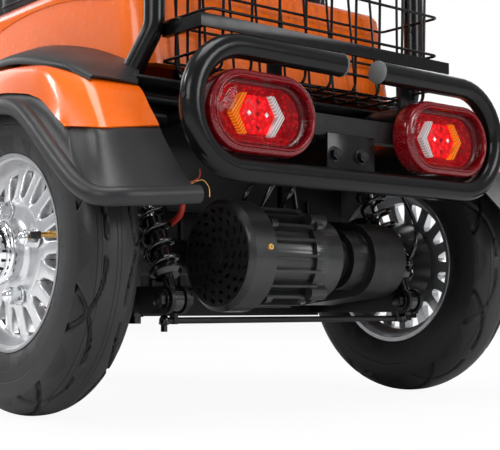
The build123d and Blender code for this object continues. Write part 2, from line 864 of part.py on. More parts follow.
for name, side in (("left", 1), ("right", -1)):
    # Painted upper part, forward of the seam across the rear slope
    with BuildPart() as fender:
        add(arch_outer)
        add(arch_inner, mode=Mode.SUBTRACT)
        box((-400.0, 400.0), (fender_seam_y - seat_gap / 2, 500.0), (100.0, 600.0), Mode.SUBTRACT)
        box((-400.0, 400.0), (200.0, 500.0), (100.0, 322.0), Mode.SUBTRACT)
        cut_region(seat_gap, -600.0, 500.0)
        if side < 0:
            mirror(about=Plane.XZ, mode=Mode.REPLACE)
    keep(fender.part, f"fender_{name}")

    # Textured flare: the outer band, the rear apron below the seam, and a round lip
    with BuildPart() as flare:
        add(arch_outer)
        add(arch_inner, mode=Mode.SUBTRACT)
        cut_region(0.0, 600.0, fender_seam_y + seat_gap / 2)
        box((-400.0, 0.0), (200.0, 500.0), (100.0, 281.0), Mode.SUBTRACT)
        box((0.0, 400.0), (200.0, 500.0), (100.0, 318.0), Mode.SUBTRACT)
        box((lip_dx, -259.0), (fender_inner_y, lip_path_y), (279.0, 283.0))
        tube(
            [
                rear(262.0, lip_path_y, 322.0),
                rear(135.0, lip_path_y, 404.0),
                rear(10.0, lip_path_y, 412.0),
                rear(-92.0, lip_path_y, 396.0),
                rear(-240.0, lip_path_y, 278.0),
                rear(lip_dx, lip_path_y, 270.0),
                rear(lip_dx, fender_inner_y, 282.0),
            ],
            lip_radius,
            [90.0, 120.0, 120.0, 24.0, 20.0],
        )
        if side < 0:
            mirror(about=Plane.XZ, mode=Mode.REPLACE)
    keep(flare.part, f"flare_{name}")

# Pads that fill the corner between the fenders' crowns and the body. Stations: dx, height at the body
pad_stations = ((255.0, 530.0), (205.0, 552.0), (110.0, 541.0), (0.0, 513.0), (-72.0, 486.0))
pad_floor_z = liner_z + liner_wall + seat_gap
pad_inner_y = body_half_width + seat_gap
with BuildPart() as fender_pads:
    sections = []
    for dx, top in pad_stations:
        outer_z = max(crown_z(dx) + 5.0, pad_floor_z + 4.0)
        with BuildSketch(across(dx)) as section:
            with BuildLine():
                Polyline(
                    (pad_inner_y, pad_floor_z),
                    (pad_inner_y, top),
                    (pad_inner_y + 26.0, top - 5.0),
                    (340.0, outer_z + 14.0),
                    (396.0, outer_z),
                    (398.0, pad_floor_z),
                    close=True,
                )
            make_face()
        sections.append(section.sketch.faces()[0])
    loft(sections=sections, ruled=True)
    # Tail down to the fender's rear corner
    sections = []
    for dx, top in ((-72.0, 486.0), (-110.0, 473.0), (-146.0, 441.0)):
        with BuildSketch(across(dx)) as section:
            with BuildLine():
                Polyline(
                    (fender_inner_y, 425.0),
                    (fender_inner_y, top),
                    (340.0, crown_z(dx) + (19.0 if dx > -140.0 else 6.0)),
                    (396.0, crown_z(dx) + (5.0 if dx > -140.0 else 2.0)),
                    (398.0, 425.0),
                    close=True,
                )
            make_face()
        sections.append(section.sketch.faces()[0])
    loft(sections=sections, ruled=True)
    add(Pos(0, 0, seat_gap) * arch_outer, mode=Mode.SUBTRACT)
    mirrored(fender_pads.part)
keep(fender_pads.part, "fender_pads")

# Rear bumper: a stadium loop of tube with a gap at its top, a bolted plate and two tabs
loop_r = (bumper_z[1] - bumper_z[0]) / 2
loop_y = bumper_half_width - bumper_tube_r - loop_r
loop_z = (bumper_z[0] + bumper_z[1]) / 2
with BuildPart() as rear_bumper:
    with BuildLine(across(bumper_dx)) as loop:
        Line((bumper_gap_y, bumper_z[1]), (loop_y, bumper_z[1]))
        ThreePointArc((loop_y, bumper_z[1]), (loop_y + loop_r, loop_z), (loop_y, bumper_z[0]))
        Line((loop_y, bumper_z[0]), (-loop_y, bumper_z[0]))
        ThreePointArc((-loop_y, bumper_z[0]), (-loop_y - loop_r, loop_z), (-loop_y, bumper_z[1]))
        Line((-loop_y, bumper_z[1]), (-bumper_gap_y, bumper_z[1]))
    with BuildSketch(Plane(origin=rear(bumper_dx, bumper_gap_y, bumper_z[1]), z_dir=(0, 1, 0))):
        Circle(bumper_tube_r)
    sweep(path=loop.wires()[0])
    plate_dx = (channel_dx[0] - 9.0, channel_dx[0] - 5.0)
    box(plate_dx, (-47.0, 47.0), (bumper_z[0], channel_z[0] + 4.0))
    box((bumper_dx, plate_dx[1]), (-40.0, 40.0), (bumper_z[0] - 4.0, bumper_z[0] + 8.0))
    for side in (1, -1):
        y0 = side * upright_y
        box(
            (bumper_dx, channel_dx[0] + 5.0 - seat_gap),
            (y0 - 9.0, y0 + 9.0),
            (bumper_z[1] - 8.0, bumper_z[1] + 8.0),
        )
    # Drain hole at the outer side of each loop
    rod(
        rear(bumper_dx, -bumper_half_width - 10.0, loop_z + 5.0),
        rear(bumper_dx, -bumper_half_width + 14.0, loop_z + 5.0),
        3.5,
        Mode.SUBTRACT,
    )
    rod(
        rear(bumper_dx, bumper_half_width + 10.0, loop_z + 5.0),
        rear(bumper_dx, bumper_half_width - 14.0, loop_z + 5.0),
        3.5,
        Mode.SUBTRACT,
    )
keep(rear_bumper.part, "rear_bumper")

with BuildPart() as bumper_caps:
    for side in (1, -1):
        with BuildSketch(
            Plane(origin=rear(bumper_dx, side * bumper_gap_y, bumper_z[1]), z_dir=(0, -side, 0))
        ):
            Circle(bumper_tube_r + 0.5)
        extrude(amount=2.5)
        with BuildSketch(
            Plane(origin=rear(bumper_dx, side * (bumper_gap_y - 2.5), bumper_z[1]), z_dir=(0, -side, 0))
        ):
            Circle(bumper_tube_r)
        extrude(amount=5.0, taper=45.0)
keep(bumper_caps.part, "bumper_caps")

# Lamp bracket: channel across the rails' ends, end plates and two uprights to the basket's bar
with BuildPart() as lamp_bracket:
    box(channel_dx, (-channel_half_width, channel_half_width), channel_z)
    box(
        (channel_dx[0] + 4.0, channel_dx[1] + 1.0),
        (-channel_half_width - 1.0, channel_half_width + 1.0),
        (channel_z[0] + 4.0, channel_z[1] - 4.0),
        Mode.SUBTRACT,
    )
    for side in (1, -1):
        y0 = side * rail_y
        box((channel_dx[1] - 4.0, channel_dx[1]), (y0 - 22.0, y0 + 22.0), (channel_z[0], rear_rail_z + 22.0))
        y0 = side * upright_y
        with BuildSketch(rear_side(y0 + 12.0)):
            with BuildLine():
                Polyline(
                    (channel_dx[0] + 5.0, channel_z[1] - 4.0),
                    (channel_dx[0] + 5.0, 488.0),
                    (-207.7, 505.0),
                    (-207.7, 528.0),
                    (-203.7, 528.0),
                    (-203.7, 504.0),
                    (channel_dx[0] + 10.0, 486.0),
                    (channel_dx[0] + 10.0, channel_z[1] - 4.0),
                    close=True,
                )
            make_face()
        extrude(amount=24.0)
    # Ears that carry the bumper's plate
    for y0 in (-30.0, 30.0):
        box(
            (channel_dx[0] - 5.0 + seat_gap, channel_dx[0] + 2.0),
            (y0 - 9.0, y0 + 9.0),
            (350.0, channel_z[0] + 4.0),
        )
keep(lamp_bracket.part, "lamp_bracket")

# Tail lamps: a red bezel with a stepped pocket, the reflector in it and a clear smoked lens
lamp_back = channel_dx[0] - seat_gap
lamp_front = lamp_back - lamp_depth


def lamp_face(dx, y, inset):
    """The lamp's stadium outline, inset from its full size."""
    with BuildSketch(Plane(origin=rear(dx, y, lamp_z), x_dir=(0, -1, 0), z_dir=(-1, 0, 0))) as face:
        SlotOverall(lamp_size[0] - 2 * inset, lamp_size[1] - 2 * inset)
    return face.sketch


with BuildPart() as tail_lamp_reflectors:
    for side in (1, -1):
        y = side * lamp_y
        extrude(lamp_face(lamp_back - 6.3, y, 17.5), amount=6.0)
        # Hexagon of lights and the two chevrons beside it, as outlines from the lamp's middle
        for outline in (
            ((-30.0, 0.0), (-15.0, 26.0), (15.0, 26.0), (30.0, 0.0), (15.0, -26.0), (-15.0, -26.0)),
            ((-36.0, 0.0), (-20.0, 28.0), (-29.0, 28.0), (-47.0, 0.0), (-29.0, -28.0), (-20.0, -28.0)),
            ((36.0, 0.0), (20.0, 28.0), (29.0, 28.0), (47.0, 0.0), (29.0, -28.0), (20.0, -28.0)),
        ):
            led_plane = Plane(origin=rear(lamp_back - 12.0, y, lamp_z), x_dir=(0, -1, 0), z_dir=(-1, 0, 0))
            with BuildSketch(led_plane):
                with BuildLine():
                    Polyline(*outline, close=True)
                make_face()
            extrude(amount=6.0)
keep(tail_lamp_reflectors.part, "tail_lamp_reflectors")

for name, side in (("left", 1), ("right", -1)):
    y = side * lamp_y
    with BuildPart() as bezel:
        extrude(lamp_face(lamp_back, y, 4.0), amount=4.0)
        extrude(lamp_face(lamp_back - 4.0, y, 0.0), amount=lamp_depth - 14.0)
        extrude(lamp_face(lamp_front + 10.0, y, 0.0), amount=10.0, taper=28.0)
        extrude(lamp_face(lamp_back - 6.0, y, 17.0), amount=lamp_depth, mode=Mode.SUBTRACT)
        extrude(lamp_face(lamp_back - 20.0, y, 12.0), amount=lamp_depth, mode=Mode.SUBTRACT)
    keep(bezel.part, f"tail_lamp_bezel_{name}")
    with BuildPart() as lens:
        extrude(lamp_face(lamp_back - 20.0 - seat_gap, y, 12.3), amount=8.0)
        extrude(lamp_face(lamp_back - 28.0, y, 18.0), amount=5.0, taper=20.0)
        extrude(lamp_face(lamp_back - 19.0, y, 20.0), amount=7.0, mode=Mode.SUBTRACT)
    keep(lens.part, f"tail_lamp_lens_{name}")

# Hoop behind the body with the flat bar that holds the basket
with BuildPart() as basket_carrier:
    tube(
        [
            rear(-95.0, 277.0, 462.0),
            rear(hoop_dx, hoop_y, 524.0),
            rear(hoop_dx, hoop_y, hoop_top_z),
            rear(hoop_dx, -hoop_y, hoop_top_z),
            rear(hoop_dx, -hoop_y, 524.0),
            rear(-95.0, -277.0, 462.0),
        ],
        hoop_radius,
        [50.0, 70.0, 70.0, 50.0],
    )
    for side in (1, -1):
        box((-114.0, -76.0), (side * 277.0 - 17.0, side * 277.0 + 17.0), (pad_floor_z, pad_floor_z + 6.0))
        y0 = side * 241.5
        box((-213.0, hoop_dx), (y0 - 4.5, y0 + 4.5), (512.0, 530.0))
    box((-213.0, -208.0), (-246.0, 246.0), (512.0, 530.0))
keep(basket_carrier.part, "basket_carrier")

# Wire basket: U wires front to back and side to side, with rings round them
basket_low = (-199.0, -103.0)
basket_high = (-206.0, -79.0)
half_wire = basket_wire / 2
wire_bend = 14.0
wire_rows = 9
wire_pitch = 50.0
cross_wires = (-178.0, -151.0, -124.0)
ring_heights = ((basket_top_z - 3.0, 3.4), (600.0, half_wire), (540.0, half_wire), (486.0, half_wire))
hook_z = (530.0 + seat_gap, 533.0 + seat_gap)


def basket_edge(low, high, z):
    """Where a leaning basket wall stands at z."""
    return low + (high - low) * (z - basket_bottom_z) / (basket_top_z - basket_bottom_z)


def wire_hoop(plane, corners, amount):
    """A U shaped wire: its corners' middle line, grown by half a wire and extruded."""
    with BuildSketch(plane) as outline:
        with BuildLine():
            grown = []
            shrunk = []
            (a_low, a_high), (b_low, b_high), floor = corners
            for share, points in ((half_wire, grown), (-half_wire, shrunk)):
                points.append((a_high - share, basket_top_z))
                points.append((a_low - share, floor - share))
                points.append((b_low + share, floor - share))
                points.append((b_high + share, basket_top_z))
            outside = FilletPolyline(*grown, radius=wire_bend + half_wire)
            inside = FilletPolyline(*shrunk, radius=wire_bend - half_wire)
            Line(outside @ 0, inside @ 0)
            Line(outside @ 1, inside @ 1)
        make_face()
    extrude(outline.sketch, amount=amount)


with BuildPart() as rear_basket:
    for row in range(wire_rows):
        y = (row - (wire_rows - 1) / 2) * wire_pitch
        wire_hoop(
            rear_side(y + half_wire),
            ((basket_low[0], basket_high[0]), (basket_low[1], basket_high[1]), basket_bottom_z),
            basket_wire,
        )
    for dx in cross_wires:
        wire_hoop(
            across(dx - half_wire),
            (
                (-basket_half_width, -basket_half_width),
                (basket_half_width, basket_half_width),
                basket_bottom_z + half_wire,
            ),
            basket_wire,
        )
    # Rings outside the wires
    for z, radius in ring_heights:
        back = basket_edge(basket_low[0], basket_high[0], z) - half_wire
        front = basket_edge(basket_low[1], basket_high[1], z) + half_wire
        side_y = basket_half_width + half_wire
        with BuildSketch(level(z - radius)):
            with Locations(((back + front) / 2, 0)):
                Rectangle(front - back + 2 * radius, 2 * (side_y + radius))
                Rectangle(front - back - 2 * radius, 2 * (side_y - radius), mode=Mode.SUBTRACT)
        extrude(amount=2 * radius)
    # Hooks that rest on the carrier's side bars
    for side in (1, -1):
        hook_y = sorted((side * (basket_half_width + 1.0), side * (basket_half_width + 24.0)))
        box((cross_wires[1] - 10.0, cross_wires[1] + 10.0), hook_y, hook_z)
keep(rear_basket.part, "rear_basket")

# Seat: pan with hinge knuckles and the back tubes, cushion, backrest and folding armrests
back_foot = (36.0, pan_z + pan_thickness)
back_bend = (-6.0, 760.0)
back_head = (-44.0, 1050.0)
seat_tube_r = 12.0
back_slope = (back_head[0] - back_bend[0]) / (back_head[1] - back_bend[1])


def back_front_dx(z):
    """Where a piece seated on the front of the back tubes lies at z."""
    return back_bend[0] + back_slope * (z - back_bend[1]) + (seat_tube_r + seat_gap) * math.hypot(1, back_slope)


with BuildPart() as seat_frame:
    box(pan_dx, (-seat_half_width + 12.0, seat_half_width - 12.0), (pan_z, pan_z + pan_thickness))
    for side in (1, -1):
        y0 = side * 126.0
        box((pan_dx[1] - 20.0, hinge_dx), (y0 - 13.0, y0 + 13.0), (pan_z, pan_z + pan_thickness))
        rod(rear(hinge_dx, y0 - 13.0, hinge_z), rear(hinge_dx, y0 + 13.0, hinge_z), 9.0)
        rod(
            rear(hinge_dx, y0 - 30.0, hinge_z),
            rear(hinge_dx, y0 + 30.0, hinge_z),
            5.0 + bearing_gap,
            Mode.SUBTRACT,
        )
        # Rubber feet that rest on the body's top
        with Locations(rear(60.0, side * 120.0, (body_top_z + seat_gap + pan_z) / 2)):
            Cylinder(12.0, pan_z - body_top_z - seat_gap)
    tube(
        [
            rear(back_foot[0], back_tube_y, pan_z + 4.0),
            rear(back_bend[0], back_tube_y, back_bend[1]),
            rear(back_head[0], back_tube_y, back_head[1]),
            rear(back_head[0], -back_tube_y, back_head[1]),
            rear(back_bend[0], -back_tube_y, back_bend[1]),
            rear(back_foot[0], -back_tube_y, pan_z + 4.0),
        ],
        seat_tube_r,
        [60.0, 50.0, 50.0, 60.0],
    )
    # Armrest pivots
    for side in (1, -1):
        y0, y1 = side * back_tube_y, side * (arm_rest_y + 14.0)
        rod(rear(arm_rest_dx, y0, arm_rest_z), rear(arm_rest_dx, y1, arm_rest_z), 8.0)
        y0, y1 = side * (seat_half_width - 9.0), side * (arm_rest_y - 14.0)
        rod(rear(arm_rest_dx, y0, arm_rest_z), rear(arm_rest_dx, y1, arm_rest_z), 15.0)
keep(seat_frame.part, "seat_frame")

with BuildPart() as seat_cushion:
    box(
        (18.0, hinge_dx - 4.0),
        (-seat_half_width, seat_half_width),
        (pan_z + pan_thickness + seat_gap, cushion_top_z),
    )
    box((0.0, 56.0), (-back_tube_y - 22.0, -back_tube_y + 22.0), (600.0, 800.0), Mode.SUBTRACT)
    box((0.0, 56.0), (back_tube_y - 22.0, back_tube_y + 22.0), (600.0, 800.0), Mode.SUBTRACT)
    fillet(seat_cushion.faces().sort_by(Axis.X)[-1].edges(), 16.0)
keep(seat_cushion.part, "seat_cushion")

# Backrest in front of its tubes
back_z = (cushion_top_z + 24.0, 1100.0)
with BuildPart() as backrest:
    with BuildSketch(rear_side(seat_half_width - 12.0)):
        with BuildLine():
            Polyline(
                (back_front_dx(back_z[0]), back_z[0]),
                (80.0, back_z[0] - 2.0),
                (64.0, 900.0),
                (26.0, back_z[1] - 5.0),
                (back_front_dx(back_z[1]), back_z[1]),
                close=True,
            )
        make_face()
    extrude(amount=2 * (seat_half_width - 12.0))
    fillet(backrest.faces().sort_by(Axis.X)[-1].edges().filter_by(Axis.Y), 14.0)
keep(backrest.part, "backrest")

for name, side in (("left", 1), ("right", -1)):
    y = side * arm_rest_y
    with BuildPart() as armrest:
        rod(rear(arm_rest_dx, y - 13.5, arm_rest_z), rear(arm_rest_dx, y + 13.5, arm_rest_z), 17.0)
        box((arm_rest_dx, arm_rest_dx + 262.0), (y - 10.0, y + 10.0), (arm_rest_z - 6.0, arm_rest_z + 10.0))
        box(
            (arm_rest_dx + 34.0, arm_rest_dx + 290.0),
            (y - 27.0, y + 27.0),
            (arm_rest_z + 8.0, arm_rest_z + 34.0),
        )
        fillet(armrest.faces().sort_by(Axis.Z)[-1].edges(), 10.0)
        rod(
            rear(arm_rest_dx, y - 30.0, arm_rest_z),
            rear(arm_rest_dx, y + 30.0, arm_rest_z),
            8.0 + bearing_gap,
            Mode.SUBTRACT,
        )
    keep(armrest.part, f"armrest_{name}")

# Front shield: lofted shell ahead of the head tube, closed on top round the column.
# Stations: height, rear edge, half width, front.
shield_wall = 3.5
plate_low_dx = 956.0
plate_high_dx = 940.0
plate_z = (floor_z + floor_thickness + seat_gap, 868.0)


def plate_dx_at(z):
    """The inner shield's rear face at z."""
    share = (z - plate_z[0]) / (plate_z[1] - plate_z[0])
    return plate_low_dx + share * (plate_high_dx - plate_low_dx)


def column_dx_at(z):
    """The steering axis at z, from the rear axle."""
    return steer_foot[0] - rear_axle_x - (z - steer_foot[1]) * math.tan(lean)


shield_stations = ((425.0, 130.0, 84.0), (560.0, 196.0, 96.0), (700.0, 216.0, 96.0), (905.0, 150.0, 74.0))


def shield_body(inset):
    """The shield's block, inset by a wall at its sides and front."""
    sections = []
    for z, half, bulge in shield_stations:
        back = plate_dx_at(z) + 5.0 + seat_gap - inset
        front = column_dx_at(z) + bulge - inset
        half_in = half - inset
        with BuildSketch(level(z)) as section:
            with BuildLine():
                ThreePointArc(
                    (back, -half_in),
                    (front, 0),
                    (back, half_in),
                )
                Line((back, half_in), (back, -half_in))
            make_face()
        sections.append(section.sketch.faces()[0])
    with BuildPart() as body:
        loft(sections=sections, ruled=True)
    return body.part


def steer_slab(s_low, s_high, mode):
    """A wide slab square to the steering axis."""
    with BuildSketch(steer_plane(s_low)) as slab:
        Rectangle(1200.0, 1200.0)
    extrude(slab.sketch, amount=s_high - s_low, mode=mode)


lamp_s = 606.0
signal_y = 118.0
signal_s = 560.0
with BuildPart() as shield_hollow:
    add(shield_body(shield_wall))
    steer_slab(shield_top_s - shield_wall, 1400.0, Mode.SUBTRACT)
with BuildPart() as front_shield:
    add(shield_body(0.0))
    add(shield_hollow.part, mode=Mode.SUBTRACT)
    steer_slab(shield_top_s, 1400.0, Mode.SUBTRACT)
    steer_slab(-200.0, 288.0, Mode.SUBTRACT)
    with BuildSketch(steer_plane(600.0)):
        Circle(30.0)
    extrude(amount=200.0, mode=Mode.SUBTRACT)
    rod(steer_point(lamp_s, 20.0, 0), steer_point(lamp_s, 200.0, 0), 62.0 + seat_gap, Mode.SUBTRACT)
    for side in (1, -1):
        y0 = side * signal_y
        rod(steer_point(signal_s, 0.0, y0), steer_point(signal_s, 200.0, y0), 24.0 + seat_gap, Mode.SUBTRACT)
keep(front_shield.part, "front_shield")

with BuildPart() as headlamp:
    rod(steer_point(lamp_s, 60.0, 0), steer_point(lamp_s, 116.0, 0), 62.0)
    chamfer(headlamp.edges().sort_by(Axis.X)[-1], 8.0)
keep(headlamp.part, "headlamp")

with BuildPart() as front_signals:
    for side in (1, -1):
        y0 = side * signal_y
        rod(steer_point(signal_s, 30.0, y0), steer_point(signal_s, 92.0, y0), 24.0)
keep(front_signals.part, "front_signals")

# Inner shield: leg panel from the floor to the shield's top, with a pocket box
with BuildPart() as inner_shield:
    with BuildSketch(rear_side(230.0)):
        with BuildLine():
            Polyline(
                (plate_low_dx, plate_z[0]),
                (plate_low_dx + 5.0, plate_z[0]),
                (plate_high_dx + 5.0, plate_z[1]),
                (plate_high_dx, plate_z[1]),
                close=True,
            )
        make_face()
    extrude(amount=460.0)
    # Trimmed to the outline of the shield's rear edges, wider at the floor
    with BuildSketch(across(900.0)):
        with BuildLine():
            Polyline(
                (-228.0, plate_z[0] - 5.0),
                (228.0, plate_z[0] - 5.0),
                (226.0, 400.0),
                (140.0, 430.0),
                (196.0, 560.0),
                (216.0, 700.0),
                (172.0, plate_z[1] + 5.0),
                (-172.0, plate_z[1] + 5.0),
                (-216.0, 700.0),
                (-196.0, 560.0),
                (-140.0, 430.0),
                (-226.0, 400.0),
                close=True,
            )
        make_face()
    extrude(amount=120.0, mode=Mode.INTERSECT)
    # Open pocket on the rider's side
    box((plate_high_dx - 62.0, plate_low_dx - 12.0), (-150.0, 150.0), (600.0, 770.0))
    box((plate_high_dx - 58.0, plate_low_dx - 22.0), (-146.0, 146.0), (604.0, 790.0), Mode.SUBTRACT)
keep(inner_shield.part, "inner_shield")

# Fork: steerer, yoke, legs and fixed wheel pin
spacer_y = 53.5
with BuildPart() as fork:
    rod(steer_point(yoke_s[0], 0, 0), steer_point(stem_top_s - 24.0, 0, 0), steerer_radius)
    with BuildSketch(steer_plane(yoke_s[0])):
        with Locations((0, 0)):
            Circle(32.0)
        with BuildLine():
            Polyline(
                (-24.0, -30.0),
                (-24.0, 30.0),
                (12.0, leg_y + 20.0),
                (fork_offset + 24.0, leg_y + 20.0),
                (fork_offset + 24.0, -leg_y - 20.0),
                (12.0, -leg_y - 20.0),
                close=True,
            )
        make_face()
    extrude(amount=yoke_s[1] - yoke_s[0])
    for side in (1, -1):
        y0 = side * leg_y
        rod(steer_point(0.0, fork_offset, y0), steer_point(150.0, fork_offset, y0), leg_radius + 4.0)
        rod(steer_point(150.0, fork_offset, y0), steer_point(yoke_s[1], fork_offset, y0), leg_radius - 2.0)
        rod(
            (front_axle_x, y0 - side * 14.0, axle_z),
            (front_axle_x, y0 + side * 22.0, axle_z),
            22.0,
        )
        rod(
            (front_axle_x, side * spacer_y, axle_z),
            (front_axle_x, side * (leg_y - 12.0), axle_z),
            12.0,
        )
        # Bosses that carry the front fender
        rod(
            steer_point(226.0, fork_offset, side * (front_fender_half + seat_gap)),
            steer_point(226.0, fork_offset, y0),
            7.0,
        )
    rod((front_axle_x, -leg_y, axle_z), (front_axle_x, leg_y, axle_z), front_pin_radius)
    # Washers that cap the head tube's ends are turned on the steerer
    rod(steer_point(yoke_s[1], 0, 0), steer_point(head_s[0] - seat_gap, 0, 0), 26.0)
    # Stem clamp for the handlebar
    rod(steer_point(shield_top_s + 8.0, 0, 0), steer_point(stem_top_s - 24.0, 0, 0), 24.0)
    rod(steer_point(stem_top_s - 6.0, 0, -30.0), steer_point(stem_top_s - 6.0, 0, 30.0), 24.0)
    rod(
        steer_point(stem_top_s - 6.0, 0, -31.0),
        steer_point(stem_top_s - 6.0, 0, 31.0),
        bar_radius + bearing_gap,
        Mode.SUBTRACT,
    )
keep(fork.part, "fork")

with BuildPart() as front_fender:
    start = math.radians(38.0)
    radial = (math.sin(start), 0, math.cos(start))
    outer = front_fender_half
    inner = front_fender_half - front_fender_wall
    side_r = front_fender_r - front_fender_side
    with BuildSketch(
        Plane(origin=(front_axle_x, 0, axle_z), x_dir=radial, z_dir=Vector(*radial).cross(Vector(0, 1, 0)))
    ):
        with BuildLine():
            Polyline(
                (front_fender_r, -inner),
                (front_fender_r, inner),
                (side_r, inner),
                (side_r, outer),
                (front_fender_r, outer),
                (front_fender_r + front_fender_wall, inner),
                (front_fender_r + front_fender_wall, -inner),
                (front_fender_r, -outer),
                (side_r, -outer),
                (side_r, -inner),
                close=True,
            )
        make_face()
    revolve(axis=Axis((front_axle_x, 0, axle_z), (0, -1, 0)), revolution_arc=112.0)
keep(front_fender.part, "front_fender")

# Handlebar with grips, levers, dash pod and mirrors
bar_s = stem_top_s - 6.0
bar_points = [
    steer_point(bar_s + 44.0, -126.0, -334.0),
    steer_point(bar_s + 46.0, -44.0, -196.0),
    steer_point(bar_s, 0.0, -92.0),
    steer_point(bar_s, 0.0, 92.0),
    steer_point(bar_s + 46.0, -44.0, 196.0),
    steer_point(bar_s + 44.0, -126.0, 334.0),
]
with BuildPart() as handlebar:
    tube(bar_points, bar_radius, [45.0, 45.0, 45.0, 45.0])
keep(handlebar.part, "handlebar")

grip_end = Vector(*bar_points[5])
grip_dir = (grip_end - Vector(*bar_points[4])).normalized()
with BuildPart() as grips:
    for side in (1, -1):
        tip = grip_end + grip_dir * 4.0
        base = grip_end - grip_dir * 112.0
        tip_at = (tip.X, side * tip.Y, tip.Z)
        base_at = (base.X, side * base.Y, base.Z)
        rod(base_at, tip_at, grip_radius)
        hole_at = (grip_end.X, side * grip_end.Y, grip_end.Z)
        hole_from = base - grip_dir * 5.0
        rod((hole_from.X, side * hole_from.Y, hole_from.Z), hole_at, bar_radius, Mode.SUBTRACT)
keep(grips.part, "grips")

with BuildPart() as hand_controls:
    for side in (1, -1):
        inner = grip_end - grip_dir * 140.0
        outer = grip_end - grip_dir * 114.0
        rod((inner.X, side * inner.Y, inner.Z), (outer.X, side * outer.Y, outer.Z), 19.0)
        reach = inner + Vector(46.0, 0, -6.0)
        tip = grip_end + Vector(44.0, -6.0, -10.0)
        middle = (inner + outer) / 2
        rod((middle.X, side * middle.Y, middle.Z), (reach.X, side * reach.Y, reach.Z), 7.0)
        rod((reach.X, side * reach.Y, reach.Z), (tip.X, side * tip.Y, tip.Z), 5.0)
        # Mirror socket on top of the perch
        top = middle + Vector(0, 0, 30.0)
        rod((middle.X, side * middle.Y, middle.Z), (top.X, side * top.Y, top.Z), 9.0)
        back = grip_end
        rod(
            (inner.X - 20 * grip_dir.X, side * (inner.Y - 20 * grip_dir.Y), inner.Z - 20 * grip_dir.Z),
            (back.X, side * back.Y, back.Z),
            bar_radius + bearing_gap,
            Mode.SUBTRACT,
        )
keep(hand_controls.part, "hand_controls")

socket = grip_end - grip_dir * 127.0 + Vector(0, 0, 30.0 + seat_gap)
with BuildPart() as mirrors:
    for side in (1, -1):
        stem_points = [
            (socket.X, side * socket.Y, socket.Z),
            (socket.X, side * socket.Y, socket.Z + 50.0),
            (socket.X + 14.0, side * (socket.Y + 78.0), socket.Z + 124.0),
        ]
        tube(stem_points, 5.0, 30.0)
        head = Vector(socket.X + 10.0, side * (socket.Y + 96.0), socket.Z + 138.0)
        with BuildSketch(Plane(origin=head, x_dir=(0, 1, 0), z_dir=(-1, 0, 0))):
            SlotOverall(112.0, 78.0)
        extrude(amount=-14.0, taper=12.0)
keep(mirrors.part, "mirrors")

with BuildPart() as dash_pod:
    with BuildSketch(steer_plane(bar_s + 24.0 + seat_gap)):
        Rectangle(116.0, 150.0)
    with BuildSketch(steer_plane(bar_s + 68.0)):
        Rectangle(84.0, 118.0)
    loft(ruled=True)
    fillet(dash_pod.edges().filter_by(Axis.Y, reverse=True).sort_by(Axis.Z)[-2:], 6.0)
keep(dash_pod.part, "dash_pod")
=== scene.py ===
"""Dresses the electric tricycle: finishes, tread, rims, lamps, upholstery, cables, light and camera."""

import json
import logging
import math
from dataclasses import dataclass
from enum import Enum
from functools import partialmethod
from typing import Dict, List, Optional, Sequence, Tuple, Union

import bmesh
import bpy
from mathutils import Matrix, Vector
from mathutils.bvhtree import BVHTree


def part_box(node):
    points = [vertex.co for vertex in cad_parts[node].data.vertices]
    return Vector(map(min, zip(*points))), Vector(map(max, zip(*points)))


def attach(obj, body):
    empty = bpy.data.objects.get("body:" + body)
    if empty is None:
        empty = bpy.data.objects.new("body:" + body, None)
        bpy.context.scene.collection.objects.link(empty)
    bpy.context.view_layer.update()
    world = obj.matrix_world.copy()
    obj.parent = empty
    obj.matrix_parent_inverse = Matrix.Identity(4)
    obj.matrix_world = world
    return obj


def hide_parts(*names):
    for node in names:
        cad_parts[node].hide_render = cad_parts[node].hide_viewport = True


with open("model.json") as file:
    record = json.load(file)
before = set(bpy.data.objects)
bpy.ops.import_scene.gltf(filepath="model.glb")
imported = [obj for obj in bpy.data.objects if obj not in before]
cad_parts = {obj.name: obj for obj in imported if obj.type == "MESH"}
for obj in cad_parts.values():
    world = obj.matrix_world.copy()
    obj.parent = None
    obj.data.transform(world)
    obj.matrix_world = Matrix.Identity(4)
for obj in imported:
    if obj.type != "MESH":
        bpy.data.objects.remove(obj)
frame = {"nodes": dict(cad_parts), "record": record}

log = logging.getLogger("tricycle")

MM = 0.001
REAR_X = -607.5
FRONT_X = 682.5
AXLE_Z = 218.0
TRACK_HALF = 371.5
RAKE = math.radians(22.0)
FORK_OFFSET = 35.0
SAME_POINT = 2e-6
FLAT_ANGLE = math.radians(0.6)
BEVEL_ANGLE = math.radians(38.0)
BEND_STEP = 0.16
STEER_FOOT = (FRONT_X - FORK_OFFSET * math.cos(RAKE), AXLE_Z - FORK_OFFSET * math.sin(RAKE))

Point = Tuple[float, float, float]
Colour = Tuple[float, float, float]
Line = Sequence[Tuple[float, float]]
Value = Union["Wire", float, int]

WHITE = (1.0, 1.0, 1.0)
LEFT = Vector((0, 1, 0))
UP = Vector((0, 0, 1))
BACK = Vector((-1, 0, 0))


def mm(x: float, y: float, z: float) -> Vector:
    """A shift in metres from millimetres."""
    return Vector((x * MM, y * MM, z * MM))


def at(dx: float, y: float, z: float) -> Vector:
    """A point in metres from millimetres ahead of the rear axle, to the left and above the floor."""
    return Vector((REAR_X + dx, y, z)) * MM


def on_stem(s: float, ahead: float, y: float) -> Vector:
    """A point in metres at s up the steering axis, at a distance ahead of it.

    Args:
        s: distance up the axis in millimetres.
        ahead: distance ahead of it.
        y: distance to the left.

    Returns:
        The point.
    """
    return Vector((
        STEER_FOOT[0] - s * math.sin(RAKE) + ahead * math.cos(RAKE),
        y,
        STEER_FOOT[1] + s * math.cos(RAKE) + ahead * math.sin(RAKE),
    )) * MM


